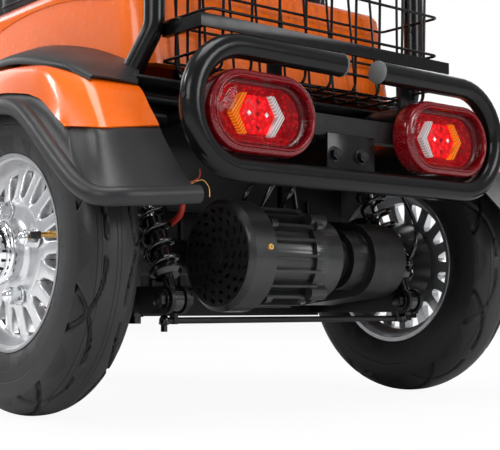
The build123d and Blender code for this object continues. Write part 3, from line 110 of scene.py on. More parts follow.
class Wire:
    """A shader socket that takes Python arithmetic and adds the Math nodes for it."""

    def __init__(self, graph: "Graph", socket: bpy.types.NodeSocket) -> None:
        """Wraps one output socket of a graph."""
        self.graph = graph
        self.socket = socket

    def _math(self, operation: str, *values: Value) -> "Wire":
        """One Math node on this wire and the given values."""
        return self.graph.node("ShaderNodeMath", {"operation": operation}, dict(enumerate((self, *values))))

    __add__ = __radd__ = partialmethod(_math, "ADD")
    __sub__ = partialmethod(_math, "SUBTRACT")
    __mul__ = __rmul__ = partialmethod(_math, "MULTIPLY")
    __pow__ = partialmethod(_math, "POWER")
    __abs__ = partialmethod(_math, "ABSOLUTE")
    sine = partialmethod(_math, "SINE")
    upper = partialmethod(_math, "MAXIMUM")
    lower = partialmethod(_math, "MINIMUM")

    def __rsub__(self, other: Value) -> "Wire":
        """Difference with the wire taken away."""
        return self.graph.node("ShaderNodeMath", {"operation": "SUBTRACT"}, {0: other, 1: self})

    def fold(self, period: float) -> "Wire":
        """Triangle wave from 0 to half a period."""
        return self._math("PINGPONG", period / 2)

    def step(self, low: float, high: float) -> "Wire":
        """Smooth step from 0 at low to 1 at high."""
        inputs = {"Value": self, 1: low, 2: high, 3: 0.0, 4: 1.0}
        return self.graph.node("ShaderNodeMapRange", {"interpolation_type": "SMOOTHSTEP"}, inputs)


class Graph:
    """The node tree of a material or world, built by calls that return wires."""

    def __init__(self, name: str, world: bool = False) -> None:
        """Makes an empty material, or an empty world."""
        self.owner = (bpy.data.worlds if world else bpy.data.materials).new(name)
        self.owner.use_nodes = True
        self.tree = self.owner.node_tree
        self.tree.nodes.clear()
        self.output = self.tree.nodes.new(f"ShaderNodeOutput{'World' if world else 'Material'}")
        self._place: Optional[Wire] = None

    def node(self, kind: str, settings: Optional[dict] = None, inputs: Optional[dict] = None,
             output: Union[int, str] = 0) -> Wire:
        """Adds a node.

        Args:
            kind: Blender's type name of the node.
            settings: properties that are set first.
            inputs: socket names or numbers with their values or wires.
            output: which output is returned.

        Returns:
            The output as a wire.
        """
        node = self.tree.nodes.new(kind)
        for key, value in (settings or {}).items():
            setattr(node, key, value)
        for key, value in (inputs or {}).items():
            socket = node.inputs[key]
            if isinstance(value, Wire):
                self.tree.links.new(value.socket, socket)
            elif isinstance(value, tuple) and len(value) == 3 and socket.type == "RGBA":
                socket.default_value = (*value, 1.0)
            else:
                socket.default_value = value
        return Wire(self, node.outputs[output])

    def place(self) -> Wire:
        """Object coordinates, in metres in the shared frame."""
        if self._place is None:
            self._place = self.node("ShaderNodeTexCoord", output="Object")
        return self._place

    def axes(self, centre: Vector = Vector((0, 0, 0))) -> Tuple[Wire, Wire, Wire]:
        """The three object coordinates, measured from a centre.

        Args:
            centre: where the three start from, in metres.

        Returns:
            The x, y and z wires.
        """
        inputs = {0: self.place(), 1: tuple(centre)}
        shifted = self.node("ShaderNodeVectorMath", {"operation": "SUBTRACT"}, inputs)
        split = self.node("ShaderNodeSeparateXYZ", inputs={0: shifted})
        return tuple(Wire(self, output) for output in split.socket.node.outputs)

    def noise(self, scale: float, detail: float = 2.0) -> Wire:
        """Noise of a scale per metre, from 0 to 1."""
        inputs = {"Vector": self.place(), "Scale": scale, "Detail": detail}
        return self.node("ShaderNodeTexNoise", None, inputs)

    def grains(self, scale: float) -> Wire:
        """Distance to the nearest grain of a scale per metre."""
        return self.node("ShaderNodeTexVoronoi", None, {"Vector": self.place(), "Scale": scale})

    def blend(self, factor: Value, low: Union[Colour, Wire], high: Union[Colour, Wire]) -> Wire:
        """Mixes two colours by a factor."""
        return self.node("ShaderNodeMix", {"data_type": "RGBA"}, {0: factor, 6: low, 7: high}, 2)

    def bump(self, height: Wire, distance: float, below: Optional[Wire] = None) -> Wire:
        """A normal bumped by a height from 0 to 1 over a distance in metres.

        Args:
            height: the height, from 0 to 1.
            distance: how high 1 stands, in metres.
            below: a normal that is bumped already.

        Returns:
            The normal.
        """
        inputs = {"Height": height, "Distance": distance, "Strength": 1.0}
        if below is not None:
            inputs["Normal"] = below
        return self.node("ShaderNodeBump", None, inputs)

    def rim_light(self, blend: float = 0.5) -> Wire:
        """How much a surface turns away from the eye."""
        return self.node("ShaderNodeLayerWeight", None, {"Blend": blend}, "Facing")

    def end(self, shader: Wire) -> bpy.types.ID:
        """Ends the graph in a shader and returns its material or world."""
        self.tree.links.new(shader.socket, self.output.inputs["Surface"])
        return self.owner

    def surface(self, **inputs: object) -> bpy.types.Material:
        """Ends the graph in a Principled shader whose inputs are given with underscores for spaces."""
        named = {key.replace("_", " "): value for key, value in inputs.items()}
        return self.end(self.node("ShaderNodeBsdfPrincipled", None, named))


@dataclass(frozen=True)
class Finish:
    """A plain finish with mottled colour, uneven gloss and a fine grain."""

    name: str
    colour: Colour
    rough: float = 0.5
    metal: float = 0.0
    coat: float = 0.0
    mottle: float = 0.12
    grain: float = 900.0
    depth: float = 0.00002
    smear: float = 0.08
    shine: float = 0.5

    def relief(self, graph: Graph) -> Wire:
        """The height of the finish's grain."""
        return graph.noise(self.grain, 3.0)

    def tint(self, graph: Graph) -> Wire:
        """The finish's colour, darker and lighter in soft patches.

        Args:
            graph: the material's graph.

        Returns:
            The colour.
        """
        dark = tuple(c * (1.0 - self.mottle) for c in self.colour)
        light = tuple(min(1.0, c * (1.0 + self.mottle)) for c in self.colour)
        return graph.blend(graph.noise(22.0, 4.0), dark, light)

    def gloss(self, graph: Graph) -> Wire:
        """Roughness with faint smears."""
        return graph.noise(60.0, 4.0) * (2 * self.smear) + (self.rough - self.smear)

    def make(self) -> bpy.types.Material:
        """Builds the material."""
        graph = Graph(self.name)
        return graph.surface(
            Base_Color=self.tint(graph),
            Roughness=self.gloss(graph),
            Metallic=self.metal,
            Coat_Weight=self.coat,
            Coat_Roughness=0.06,
            Specular_IOR_Level=self.shine,
            Normal=graph.bump(self.relief(graph), self.depth),
        )


@dataclass(frozen=True)
class LeatherGrain(Finish):
    """A moulded grain of small pebbles, as on textured plastic and vinyl."""

    pebble: float = 700.0

    def relief(self, graph: Graph) -> Wire:
        """Pebbles broken up by noise."""
        return graph.grains(self.pebble) * 0.8 + graph.noise(self.pebble * 2.0, 2.0) * 0.3


@dataclass(frozen=True)
class Lacquer(Finish):
    """Glossy orange plastic with painted shade: darker and redder where it turns away from the eye, with a
    faint orange peel.
    """

    # edge: the darker red that paints shade where the surface turns away from the eye
    edge: Colour = (0.60, 0.030, 0.002)

    def tint(self, graph: Graph) -> Wire:
        """Painted shade: the lacquer's colour turns darker and redder at grazing angles."""
        return graph.blend(graph.rim_light(0.35).step(0.25, 1.0) * 0.85, Finish.tint(self, graph), self.edge)


@dataclass(frozen=True)
class Cast(Finish):
    """A cast or powder-coated surface with pits and dust in its hollows."""

    dust: Colour = (0.16, 0.15, 0.14)

    def tint(self, graph: Graph) -> Wire:
        """Dust shows in patches."""
        patches = graph.noise(35.0, 6.0).step(0.52, 0.75) * 0.35
        return graph.blend(patches, Finish.tint(self, graph), self.dust)


@dataclass(frozen=True)
class PaintedGlintFinish(Finish):
    """Red lamp plastic with painted glints: bright flecks that stand in for light caught in it."""

    # spark: colour of the painted glints
    spark: Colour = (0.9, 0.12, 0.12)

    def tint(self, graph: Graph) -> Wire:
        """Painted glints as bright flecks on the deep colour."""
        painted_glints = 1.0 - graph.grains(520.0).step(0.14, 0.34)
        return graph.blend(painted_glints * 0.55, Finish.tint(self, graph), self.spark)


class Look(Enum):
    """The finishes that the tricycle's pieces wear."""

    ORANGE = Lacquer("orange_lacquer", (0.93, 0.150, 0.002), 0.26, coat=0.35, mottle=0.05, grain=140.0,
                     depth=0.00003, shine=0.4)
    FLARE = LeatherGrain("grained_grey_plastic", (0.015, 0.015, 0.016), 0.42, mottle=0.25, depth=0.00016,
                         shine=0.4)
    TUBE = Finish("black_tube_paint", (0.003, 0.003, 0.0032), 0.22, grain=500.0, depth=0.00001, shine=0.28)
    FRAME = Cast("black_frame_paint", (0.004, 0.004, 0.0043), 0.36, coat=0.1, depth=0.00005, shine=0.35,
                 dust=(0.03, 0.03, 0.03))
    SATIN = Finish("satin_black_plastic", (0.008, 0.008, 0.009), 0.45, grain=1200.0, depth=0.00003)
    RUBBER = Finish("black_rubber", (0.009, 0.009, 0.009), 0.62, grain=1500.0, depth=0.00004)
    SILVER = Finish("silver_lacquer", (0.74, 0.75, 0.76), 0.30, metal=0.85, coat=0.5, mottle=0.06,
                    grain=700.0)
    CHROME = Finish("bright_chrome", (0.88, 0.89, 0.90), 0.09, metal=1.0, mottle=0.02, depth=0.000006,
                    smear=0.04)
    BRASS = Finish("plain_brass", (0.72, 0.42, 0.12), 0.28, metal=1.0, mottle=0.10)
    CASTING = Cast("black_casting", (0.009, 0.009, 0.010), 0.36, metal=0.2, grain=450.0, depth=0.00012,
                   dust=(0.05, 0.048, 0.045))
    MOTOR = Cast("black_motor_coat", (0.016, 0.0165, 0.017), 0.33, coat=0.2, grain=600.0, depth=0.00006,
                 dust=(0.04, 0.04, 0.04))
    SPRING = Finish("gloss_spring_coat", (0.005, 0.005, 0.0055), 0.18, coat=0.7, grain=300.0, depth=0.00002)
    CAP = LeatherGrain("grey_end_cap", (0.11, 0.115, 0.115), 0.55, depth=0.00006)
    # the bezel and the amber lens carry painted glints
    BEZEL = PaintedGlintFinish("red_lamp_bezel", (0.15, 0.0, 0.003), 0.09, coat=0.3, mottle=0.15, depth=0.000005,
                     smear=0.03, shine=0.4)
    VINYL = LeatherGrain("black_vinyl", (0.011, 0.011, 0.012), 0.46, mottle=0.1, depth=0.00014, pebble=480.0)
    AMBER = PaintedGlintFinish("amber_lens", (0.85, 0.20, 0.01), 0.18, coat=1.0, spark=(1.0, 0.5, 0.1))
    MIRROR = Finish("mirror_glass", (0.86, 0.88, 0.90), 0.03, metal=1.0, mottle=0.01, depth=0.0, smear=0.01)
    # painted shade: a near-black finish put in holes, notches and slots
    HOLE_SHADE = Finish("painted_hole_shade", (0.010, 0.010, 0.010), 0.8)
    RED_WIRE = Finish("red_cable", (0.42, 0.025, 0.01), 0.40)
    # painted shade: a darker copy of the silver lacquer for the barrel deep in the wheel
    BARREL = Finish("painted_shade_silver", (0.50, 0.50, 0.51), 0.34, metal=0.9, coat=0.3, grain=260.0,
                    depth=0.00002)
    BOLT = Finish("black_zinc_bolt", (0.06, 0.06, 0.063), 0.28, metal=1.0, grain=700.0, depth=0.00002)


class Paints:
    """Makes each finish's material once."""

    def __init__(self) -> None:
        """Starts with no material."""
        self._made: Dict[str, bpy.types.Material] = {}

    def get(self, look: Union[Look, Finish]) -> bpy.types.Material:
        """The material of a finish.

        Args:
            look: the finish, or its name in the list of looks.

        Returns:
            The material.
        """
        finish = look.value if isinstance(look, Look) else look
        if finish.name not in self._made:
            self._made[finish.name] = finish.make()
        return self._made[finish.name]


PAINTS = Paints()


def kinds(geom: Sequence[bmesh.types.BMVert], kind: type) -> list:
    """The elements of one kind out of a mesh operator's result."""
    return [g for g in geom if isinstance(g, kind)]


def add_object(name: str, data: Optional[bpy.types.ID]) -> bpy.types.Object:
    """A new object in the scene.

    Args:
        name: its name.
        data: its mesh, lamp or camera.

    Returns:
        The object.
    """
    made = bpy.data.objects.new(name, data)
    bpy.context.scene.collection.objects.link(made)
    return made


class Shape:
    """A mesh built with bmesh operators, in metres in the shared frame."""

    def __init__(self, look: Union[Look, Finish]) -> None:
        """Starts an empty shape in one finish."""
        self.bm = bmesh.new()
        self.looks: List[Union[Look, Finish]] = [look]
        self._current = 0
        self._dressed = self.bm.faces.layers.int.new("dressed")

    def wear(self, look: Union[Look, Finish]) -> "Shape":
        """What is added from here on wears this finish.

        Args:
            look: the finish.

        Returns:
            The shape.
        """
        if look not in self.looks:
            self.looks.append(look)
        self._current = self.looks.index(look)
        return self

    def dress(self) -> List[bmesh.types.BMFace]:
        """Gives the faces made since the last call the current finish, and returns them."""
        faces = [face for face in self.bm.faces if not face[self._dressed]]
        for face in faces:
            face.material_index = self._current
            face[self._dressed] = 1
        return faces

    def bevel(self, edges: List[bmesh.types.BMEdge], width: float, segments: int = 2) -> None:
        """Rounds edges by a width in millimetres."""
        bmesh.ops.bevel(self.bm, geom=edges, offset=width * MM, offset_type="OFFSET", segments=segments,
                        profile=0.5, affect="EDGES", material=-1, clamp_overlap=True)

    def push(self, edges: List[bmesh.types.BMEdge], vec: Vector) -> Tuple[list, list]:
        """Extrudes edges by a vector and returns the new vertices and the edges between them.

        Args:
            edges: the edges.
            vec: the vector, in metres.

        Returns:
            The new vertices, and the edges.
        """
        made = bmesh.ops.extrude_edge_only(self.bm, edges=edges)["geom"]
        verts = kinds(made, bmesh.types.BMVert)
        bmesh.ops.translate(self.bm, verts=verts, vec=vec)
        return verts, [e for e in kinds(made, bmesh.types.BMEdge) if all(v in verts for v in e.verts)]

    def rod(self, start: Vector, end: Vector, radius: float, steps: int = 20,
            end_radius: Optional[float] = None) -> "Shape":
        """A round bar or cone between two points, with radii in millimetres.

        Args:
            start: the middle of one end.
            end: the middle of the other.
            radius: its radius at the start.
            steps: facets round it.
            end_radius: its radius at the end where it is a cone.

        Returns:
            The shape.
        """
        along = end - start
        turn = along.to_track_quat("Z", "Y").to_matrix().to_4x4()
        last = radius if end_radius is None else end_radius
        bmesh.ops.create_cone(
            self.bm, cap_ends=True, segments=steps, radius1=radius * MM, radius2=last * MM,
            depth=along.length, matrix=Matrix.Translation((start + end) / 2) @ turn,
        )
        self.dress()
        return self

    def rods(self, foot: Vector, way: Vector, *parts: Tuple[float, ...]) -> "Shape":
        """Round bars in one line.

        Args:
            foot: where the line starts.
            way: its unit direction.
            parts: each bar's start and end along the line and its radius in millimetres, then its
                facets and its end's radius where they differ from a rod's.

        Returns:
            The shape.
        """
        for start, end, *form in parts:
            self.rod(foot + way * start * MM, foot + way * end * MM, *form)
        return self

    def block(self, low: Vector, high: Vector, round_by: float = 0.0) -> "Shape":
        """A box between two corners, its edges rounded by millimetres.

        Args:
            low: its lowest corner.
            high: its highest corner.
            round_by: width of the rounding.

        Returns:
            The shape.
        """
        size = high - low
        place = Matrix.Translation((low + high) / 2) @ Matrix.Diagonal((*size, 1.0))
        made = bmesh.ops.create_cube(self.bm, size=1.0, matrix=place)
        if round_by:
            self.bevel(list({e for v in made["verts"] for e in v.link_edges}), round_by)
        self.dress()
        return self

    def ball(self, centre: Vector, radius: float, squash: Point = (1, 1, 1), steps: int = 16) -> "Shape":
        """A ball of a radius in millimetres, squashed along the axes.

        Args:
            centre: its middle.
            radius: its radius.
            squash: scale along each axis.
            steps: facets round it.

        Returns:
            The shape.
        """
        place = Matrix.Translation(centre) @ Matrix.Diagonal((*squash, 1.0))
        bmesh.ops.create_uvsphere(self.bm, u_segments=steps, v_segments=steps // 2, radius=radius * MM,
                                  matrix=place)
        self.dress()
        return self

    def spin(self, profile: Sequence[Vector], centre: Vector, axis: Vector, steps: int = 48,
             angle: float = 2 * math.pi, rise: Vector = Vector((0, 0, 0)), closed: bool = True) -> "Shape":
        """Turns a profile of points round an axis.

        Args:
            profile: the points, in metres.
            centre: a point on the axis.
            axis: its direction.
            steps: segments round it.
            angle: how far it turns; a full turn is merged.
            rise: shift of each step, for a helix.
            closed: whether the profile is a loop.

        Returns:
            The shape.
        """
        verts = [self.bm.verts.new(p) for p in profile]
        pairs = list(zip(verts, verts[1:]))
        if closed:
            pairs.append((verts[-1], verts[0]))
        edges = [self.bm.edges.new(pair) for pair in pairs]
        full = abs(angle - 2 * math.pi) < 1e-6 and rise.length == 0
        if not full and closed:
            self.bm.faces.new(verts)
        made = bmesh.ops.spin(self.bm, geom=verts + edges, cent=centre, axis=axis, dvec=rise, angle=angle,
                              steps=steps, use_merge=full)
        if not full and closed:
            bmesh.ops.contextual_create(self.bm, geom=kinds(made["geom_last"], bmesh.types.BMEdge))
        self.dress()
        return self

    def wheel_ring(self, profile: Line, centre: Vector, steps: int = 64, closed: bool = True,
                   side: float = 1.0) -> "Shape":
        """Turns a profile of (radius, distance outboard) in millimetres round an axle along Y."""
        points = [centre + Vector((r, side * w, 0)) * MM for r, w in profile]
        return self.spin(points, centre, LEFT, steps, closed=closed)

    def pipe(self, points: Sequence[Vector], radius: float, bends: Union[float, Sequence[float]] = 0.0,
             steps: int = 20, open_ends: bool = False) -> "Shape":
        """A round tube along straight runs and round its corners.

        Args:
            points: its corners, in metres.
            radius: the tube's radius in millimetres.
            bends: one bend radius in millimetres, or one for each corner.
            steps: facets round the tube.
            open_ends: leaves the ends without caps.

        Returns:
            The shape.
        """
        corners = len(points) - 2
        radii = [bends] * corners if isinstance(bends, (int, float)) else list(bends)
        heading = (points[1] - points[0]).normalized()
        turn = heading.to_track_quat("Z", "Y").to_matrix().to_4x4()
        made = bmesh.ops.create_circle(self.bm, cap_ends=not open_ends, segments=steps, radius=radius * MM,
                                       matrix=Matrix.Translation(points[0]) @ turn)
        ring = list({e for v in made["verts"] for e in v.link_edges})
        here = points[0].copy()
        for index in range(1, len(points)):
            run = (points[index] - points[index - 1]).normalized()
            if index < len(points) - 1:
                ahead = (points[index + 1] - points[index]).normalized()
                bend = run.angle(ahead)
                cut = radii[index - 1] * MM * math.tan(bend / 2)
            else:
                ahead, bend, cut = run, 0.0, 0.0
            stop = points[index] - run * cut
            if (stop - here).length > 1e-7:
                ring = self.push(ring, stop - here)[1]
            if bend > 1e-4 and cut > 0:
                axis = run.cross(ahead).normalized()
                inward = axis.cross(run).normalized()
                verts = list({v for e in ring for v in e.verts})
                out = bmesh.ops.spin(self.bm, geom=ring + verts, cent=stop + inward * radii[index - 1] * MM,
                                     axis=axis, angle=bend, steps=max(3, round(bend / BEND_STEP)))
                ring = kinds(out["geom_last"], bmesh.types.BMEdge)
                here = points[index] + ahead * cut
            else:
                here = stop
        if not open_ends:
            bmesh.ops.contextual_create(self.bm, geom=ring)
        self.dress()
        return self

    def hose(self, points: Sequence[Vector], radius: float, steps: int = 10) -> "Shape":
        """A round cable of a radius in millimetres, led smoothly through points.

        Args:
            points: points on its middle line.
            radius: its radius.
            steps: facets round it.

        Returns:
            The shape.
        """
        path = [Vector(p) for p in rounded([tuple(p) for p in points], 4)]
        bends = []
        for a, b, c in zip(path, path[1:], path[2:]):
            half = max(math.tan((b - a).angle(c - b) / 2), 1e-3)
            bends.append(0.45 * min((b - a).length, (c - b).length) / MM / half)
        return self.pipe(path, radius, bends, steps)

    def sheet(self, rows: Sequence[Sequence[Vector]], wall: float = 0.0) -> "Shape":
        """A skin over rows of points, thickened by millimetres.

        Args:
            rows: rows with the same number of points, in metres.
            wall: how thick it is made, to the side away from its normals.

        Returns:
            The shape.
        """
        made = bmesh.ops.create_grid(self.bm, x_segments=len(rows[0]) - 1, y_segments=len(rows) - 1, size=1.0)
        for vert, place in zip(made["verts"], [p for row in rows for p in row]):
            vert.co = place
        faces = [f for f in self.bm.faces if not f[self._dressed]]
        bmesh.ops.recalc_face_normals(self.bm, faces=faces)
        if wall:
            bmesh.ops.solidify(self.bm, geom=faces, thickness=wall * MM)
        self.dress()
        return self

    def slab(self, outline: Sequence[Vector], depth: Vector, round_by: float = 0.0) -> "Shape":
        """A flat outline pushed out by a vector, its edges rounded by millimetres.

        Args:
            outline: its corners, in metres.
            depth: the vector.
            round_by: width of the rounding.

        Returns:
            The shape.
        """
        face = self.bm.faces.new([self.bm.verts.new(p) for p in outline])
        out = bmesh.ops.extrude_face_region(self.bm, geom=[face], use_keep_orig=True)
        verts = kinds(out["geom"], bmesh.types.BMVert)
        bmesh.ops.translate(self.bm, verts=verts, vec=depth)
        if round_by:
            edges = list({e for v in verts for e in v.link_edges})
            self.bevel(edges + [e for e in face.edges if e not in edges], round_by)
        self.dress()
        return self

    def hex_bolt(self, seat: Vector, out: Vector, flats: float = 13.0, height: float = 6.0) -> "Shape":
        """A flanged hexagon head on its seat, pointing out.

        Args:
            seat: the middle of the seat.
            out: where the head points.
            flats: width over its flats in millimetres.
            height: its height.

        Returns:
            The shape.
        """
        out = out.normalized()
        radius = flats / math.sqrt(3)
        return self.rods(seat, out, (0, 1.5, radius * 1.3), (1.5, height - 1.0, radius, 6),
                         (height - 1.0, height, radius, 6, radius * 0.8))

    def copy_of(self, *nodes: str) -> "Shape":
        """Adds merged copies of CAD nodes, so that their edges can be rounded.

        Args:
            nodes: the CAD nodes.

        Returns:
            The shape.
        """
        for node in nodes:
            self.bm.from_mesh(frame["nodes"][node].data)
        bmesh.ops.remove_doubles(self.bm, verts=self.bm.verts[:], dist=SAME_POINT)
        bmesh.ops.dissolve_limit(self.bm, angle_limit=FLAT_ANGLE, verts=self.bm.verts[:],
                                 edges=self.bm.edges[:])
        self.dress()
        return self

    def piece(self, name: str, body: str, stands_for: Sequence[str] = (), bevel: float = 0.0,
              sharp: float = 32.0, closed: bool = True) -> bpy.types.Object:
        """Ends the shape as one piece on a body.

        Args:
            name: the piece's name.
            body: the CAD body that carries it.
            stands_for: the CAD nodes that it replaces.
            bevel: width of its rounded edges in millimetres.
            sharp: edges over this angle in degrees stay sharp.
            closed: whether the faces' sides are worked out again.

        Returns:
            The piece.
        """
        if closed:
            bmesh.ops.recalc_face_normals(self.bm, faces=self.bm.faces[:])
        mesh = bpy.data.meshes.new(name)
        self.bm.to_mesh(mesh)
        self.bm.free()
        for look in self.looks:
            mesh.materials.append(PAINTS.get(look))
        mesh.shade_smooth()
        mesh.set_sharp_from_angle(angle=math.radians(sharp))
        piece = add_object(name, mesh)
        if bevel:
            edge = piece.modifiers.new("edges", "BEVEL")
            edge.width = bevel * MM
            edge.segments = 2
            edge.limit_method = "ANGLE"
            edge.angle_limit = BEVEL_ANGLE
            edge.harden_normals = True
        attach(piece, body)
        if stands_for:
            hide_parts(*stands_for)
        log.info("%s: %d faces on %s", name, len(mesh.polygons), body)
        return piece


BODY_OF: Dict[str, str] = {
    node: body for body, nodes in frame["record"]["behaviour"]["bodies"].items() for node in nodes
}


@dataclass
class Studio:
    """Pale floor, soft lamps and the camera of the photograph."""

    eye: Point = (-1.97059, 1.11703, 0.14676)
    heading: float = -39.669
    tilt: float = 4.122
    lens: float = 80.90
    sensor: float = 36.0
    view_reach: float = 200.0
    floor_half: float = 30.0
    floor_tone: float = 0.86
    floor_white: float = 0.93
    sky: Colour = (0.93, 0.95, 1.0)
    sky_strength: float = 0.36
    glossy_white: float = 0.10
    lamps: Tuple[Tuple[str, Point, Point, float, float], ...] = (
        ("top_softbox", (-1.0, 0.5, 3.0), (-0.5, 0.0, 0.4), 1.6, 46.0),
        ("left_softbox", (-1.9, 3.0, 1.6), (-0.6, 0.2, 0.4), 1.3, 30.0),
        ("rear_softbox", (-3.6, -1.0, 1.5), (-0.8, 0.0, 0.35), 1.2, 34.0),
        ("edge_strip", (0.45, 1.9, 1.9), (-0.76, 0.41, 0.40), 0.45, 15.0),
        ("right_softbox", (0.6, -3.4, 1.8), (0.0, 0.0, 0.5), 2.0, 34.0),
        ("front_softbox", (3.2, 0.8, 1.9), (0.4, 0.0, 0.6), 2.0, 34.0))

    def camera(self) -> None:
        """Puts the camera where the photograph was taken."""
        data = bpy.data.cameras.new("view")
        data.lens = self.lens
        data.sensor_width = self.sensor
        data.clip_end = self.view_reach
        view = add_object("view", data)
        turn, lift = math.radians(self.heading), math.radians(self.tilt)
        aim = Vector((math.cos(lift) * math.cos(turn), math.cos(lift) * math.sin(turn), math.sin(lift)))
        view.matrix_world = Matrix.Translation(self.eye) @ aim.to_track_quat("-Z", "Y").to_matrix().to_4x4()
        bpy.context.scene.camera = view

    def floor(self) -> None:
        """A white floor that keeps the shadow."""
        bm = bmesh.new()
        bmesh.ops.create_grid(bm, x_segments=1, y_segments=1, size=self.floor_half)
        mesh = bpy.data.meshes.new("studio_floor")
        bm.to_mesh(mesh)
        bm.free()
        graph = Graph("studio_floor")
        paint = graph.node("ShaderNodeBsdfPrincipled", None,
                           {"Base Color": (self.floor_tone,) * 3, "Roughness": 0.9})
        glow = graph.node("ShaderNodeEmission", None, {"Color": WHITE, "Strength": 1.0})
        eye = graph.node("ShaderNodeLightPath", output="Is Camera Ray")
        mix = graph.node("ShaderNodeMixShader", None, {0: eye * self.floor_white, 1: paint, 2: glow})
        mesh.materials.append(graph.end(mix))
        floor = add_object("studio_floor", mesh)

    def world(self) -> None:
        """An even sky that the camera and glass see as white."""
        graph = Graph("studio", world=True)
        soft = graph.node("ShaderNodeBackground", None, {"Color": self.sky, "Strength": self.sky_strength})
        white = graph.node("ShaderNodeBackground", None, {"Color": WHITE, "Strength": 1.0})
        eye, through, glossy = (graph.node("ShaderNodeLightPath", output=f"Is {ray} Ray")
                                for ray in ("Camera", "Transmission", "Glossy"))
        share = eye.upper(through).upper(glossy * self.glossy_white)
        mix = graph.node("ShaderNodeMixShader", None, {0: share, 1: soft, 2: white})
        bpy.context.scene.world = graph.end(mix)

    def lamp(self, name: str, place: Point, aim: Point, size: float, power: float) -> None:
        """A square soft lamp that looks at a point.

        Args:
            name: the lamp's name.
            place: where it stands.
            aim: where it looks.
            size: side of its square in metres.
            power: its power in watts.
        """
        data = bpy.data.lights.new(name, "AREA")
        data.shape = "SQUARE"
        data.size = size
        data.energy = power
        lamp = add_object(name, data)
        turn = (Vector(aim) - Vector(place)).to_track_quat("-Z", "Y").to_matrix().to_4x4()
        lamp.matrix_world = Matrix.Translation(place) @ turn

    def build(self) -> None:
        """Builds the whole studio."""
        self.camera()
        self.floor()
        self.world()
        for lamp in self.lamps:
            self.lamp(*lamp)


def rounded(points: Sequence[Tuple[float, ...]], parts: int = 4) -> List[Tuple[float, ...]]:
    """A smooth line through points, with this many parts between each two.

    Args:
        points: the points that it passes through.
        parts: how many parts each gap gets.

    Returns:
        The finer list of points.
    """
    last = len(points) - 1
    line: List[Tuple[float, ...]] = []
    for i in range(last):
        quad = [Vector(points[min(max(i + k, 0), last)]) for k in (-1, 0, 1, 2)]
        for j in range(parts):
            t = j / parts
            a = quad[1] * 2
            b = (quad[2] - quad[0]) * t
            c = (quad[0] * 2 - quad[1] * 5 + quad[2] * 4 - quad[3]) * t * t
            d = (quad[1] * 3 - quad[0] - quad[2] * 3 + quad[3]) * t * t * t
            line.append(tuple((a + b + c + d) / 2))
    return line + [tuple(points[-1])]


@dataclass(frozen=True)
class TreadRubber(Finish):
    """Tyre rubber with fine circumferential lines and hatched patches between the grooves, all painted near
    black as shade in the recesses.
    """

    centre: Point = (0.0, 0.0, 0.0)
    pitch: float = 0.1712

    def pattern(self, graph: Graph) -> Tuple[Wire, Wire]:
        """The moulded lines, and the hatched patches, each from 0 to 1.

        Args:
            graph: the material's graph.

        Returns:
            The lines and the patches.
        """
        x, y, z = graph.axes(Vector(self.centre))
        turn = graph.node("ShaderNodeMath", {"operation": "ARCTAN2"}, {0: z, 1: x})
        radius = (x * x + z * z) ** 0.5
        width = abs(y)
        round_it = turn * 0.218 + (y * 1000.0).step(-1.0, 1.0) * (self.pitch / 2)
        near = round_it.fold(self.pitch)
        far = self.pitch / 2 - near
        near_line = abs(width - 0.0030).step(0.0003, 0.0008)
        line = 1.0 - near_line.lower(abs(width - 0.0275).step(0.0003, 0.0007))
        line = line.upper(1.0 - abs(width - 0.0225).step(0.0002, 0.0006))
        edge = (0.0432 - width).step(0.0, 0.0004)
        lens = (width - 0.0335 - far * far * 7.6).step(0.0, 0.0004) * (0.036 - far).step(0.0, 0.0005)
        vee = (width - 0.0325 - near * 0.44).step(0.0, 0.0004)
        hatch = (round_it * 2300.0 + y * 1700.0).sine().step(-0.2, 0.5)
        wall = 1.0 - abs(radius - 0.172).step(0.0003, 0.0009)
        return line.upper(wall), lens.upper(vee) * edge * hatch

    def make(self) -> bpy.types.Material:
        """Builds the material."""
        graph = Graph(self.name)
        fine = graph.bump(graph.noise(self.grain, 3.0), 0.00006)
        y = graph.axes(Vector(self.centre))[1]
        worn = (abs(y) * -1.0 + 0.022).step(-0.01, 0.0) * 0.6
        grey = graph.blend(worn * graph.noise(30.0, 4.0), Finish.tint(self, graph), (0.040, 0.040, 0.041))
        cut = graph.node("ShaderNodeAttribute", {"attribute_name": "groove"}, None, "Fac")
        line, hatch = self.pattern(graph)
        # painted shade: grooves, moulded lines and hatched patches are darkened towards near black
        grey = graph.blend(cut.step(0.2, 0.8).upper(line).upper(hatch * 0.8), grey, (0.0015, 0.0015, 0.0015))
        return graph.surface(
            Base_Color=grey,
            Roughness=self.gloss(graph),
            Specular_IOR_Level=0.4,
            Normal=graph.bump(line.upper(hatch) * -1.0, 0.0006, fine),
        )


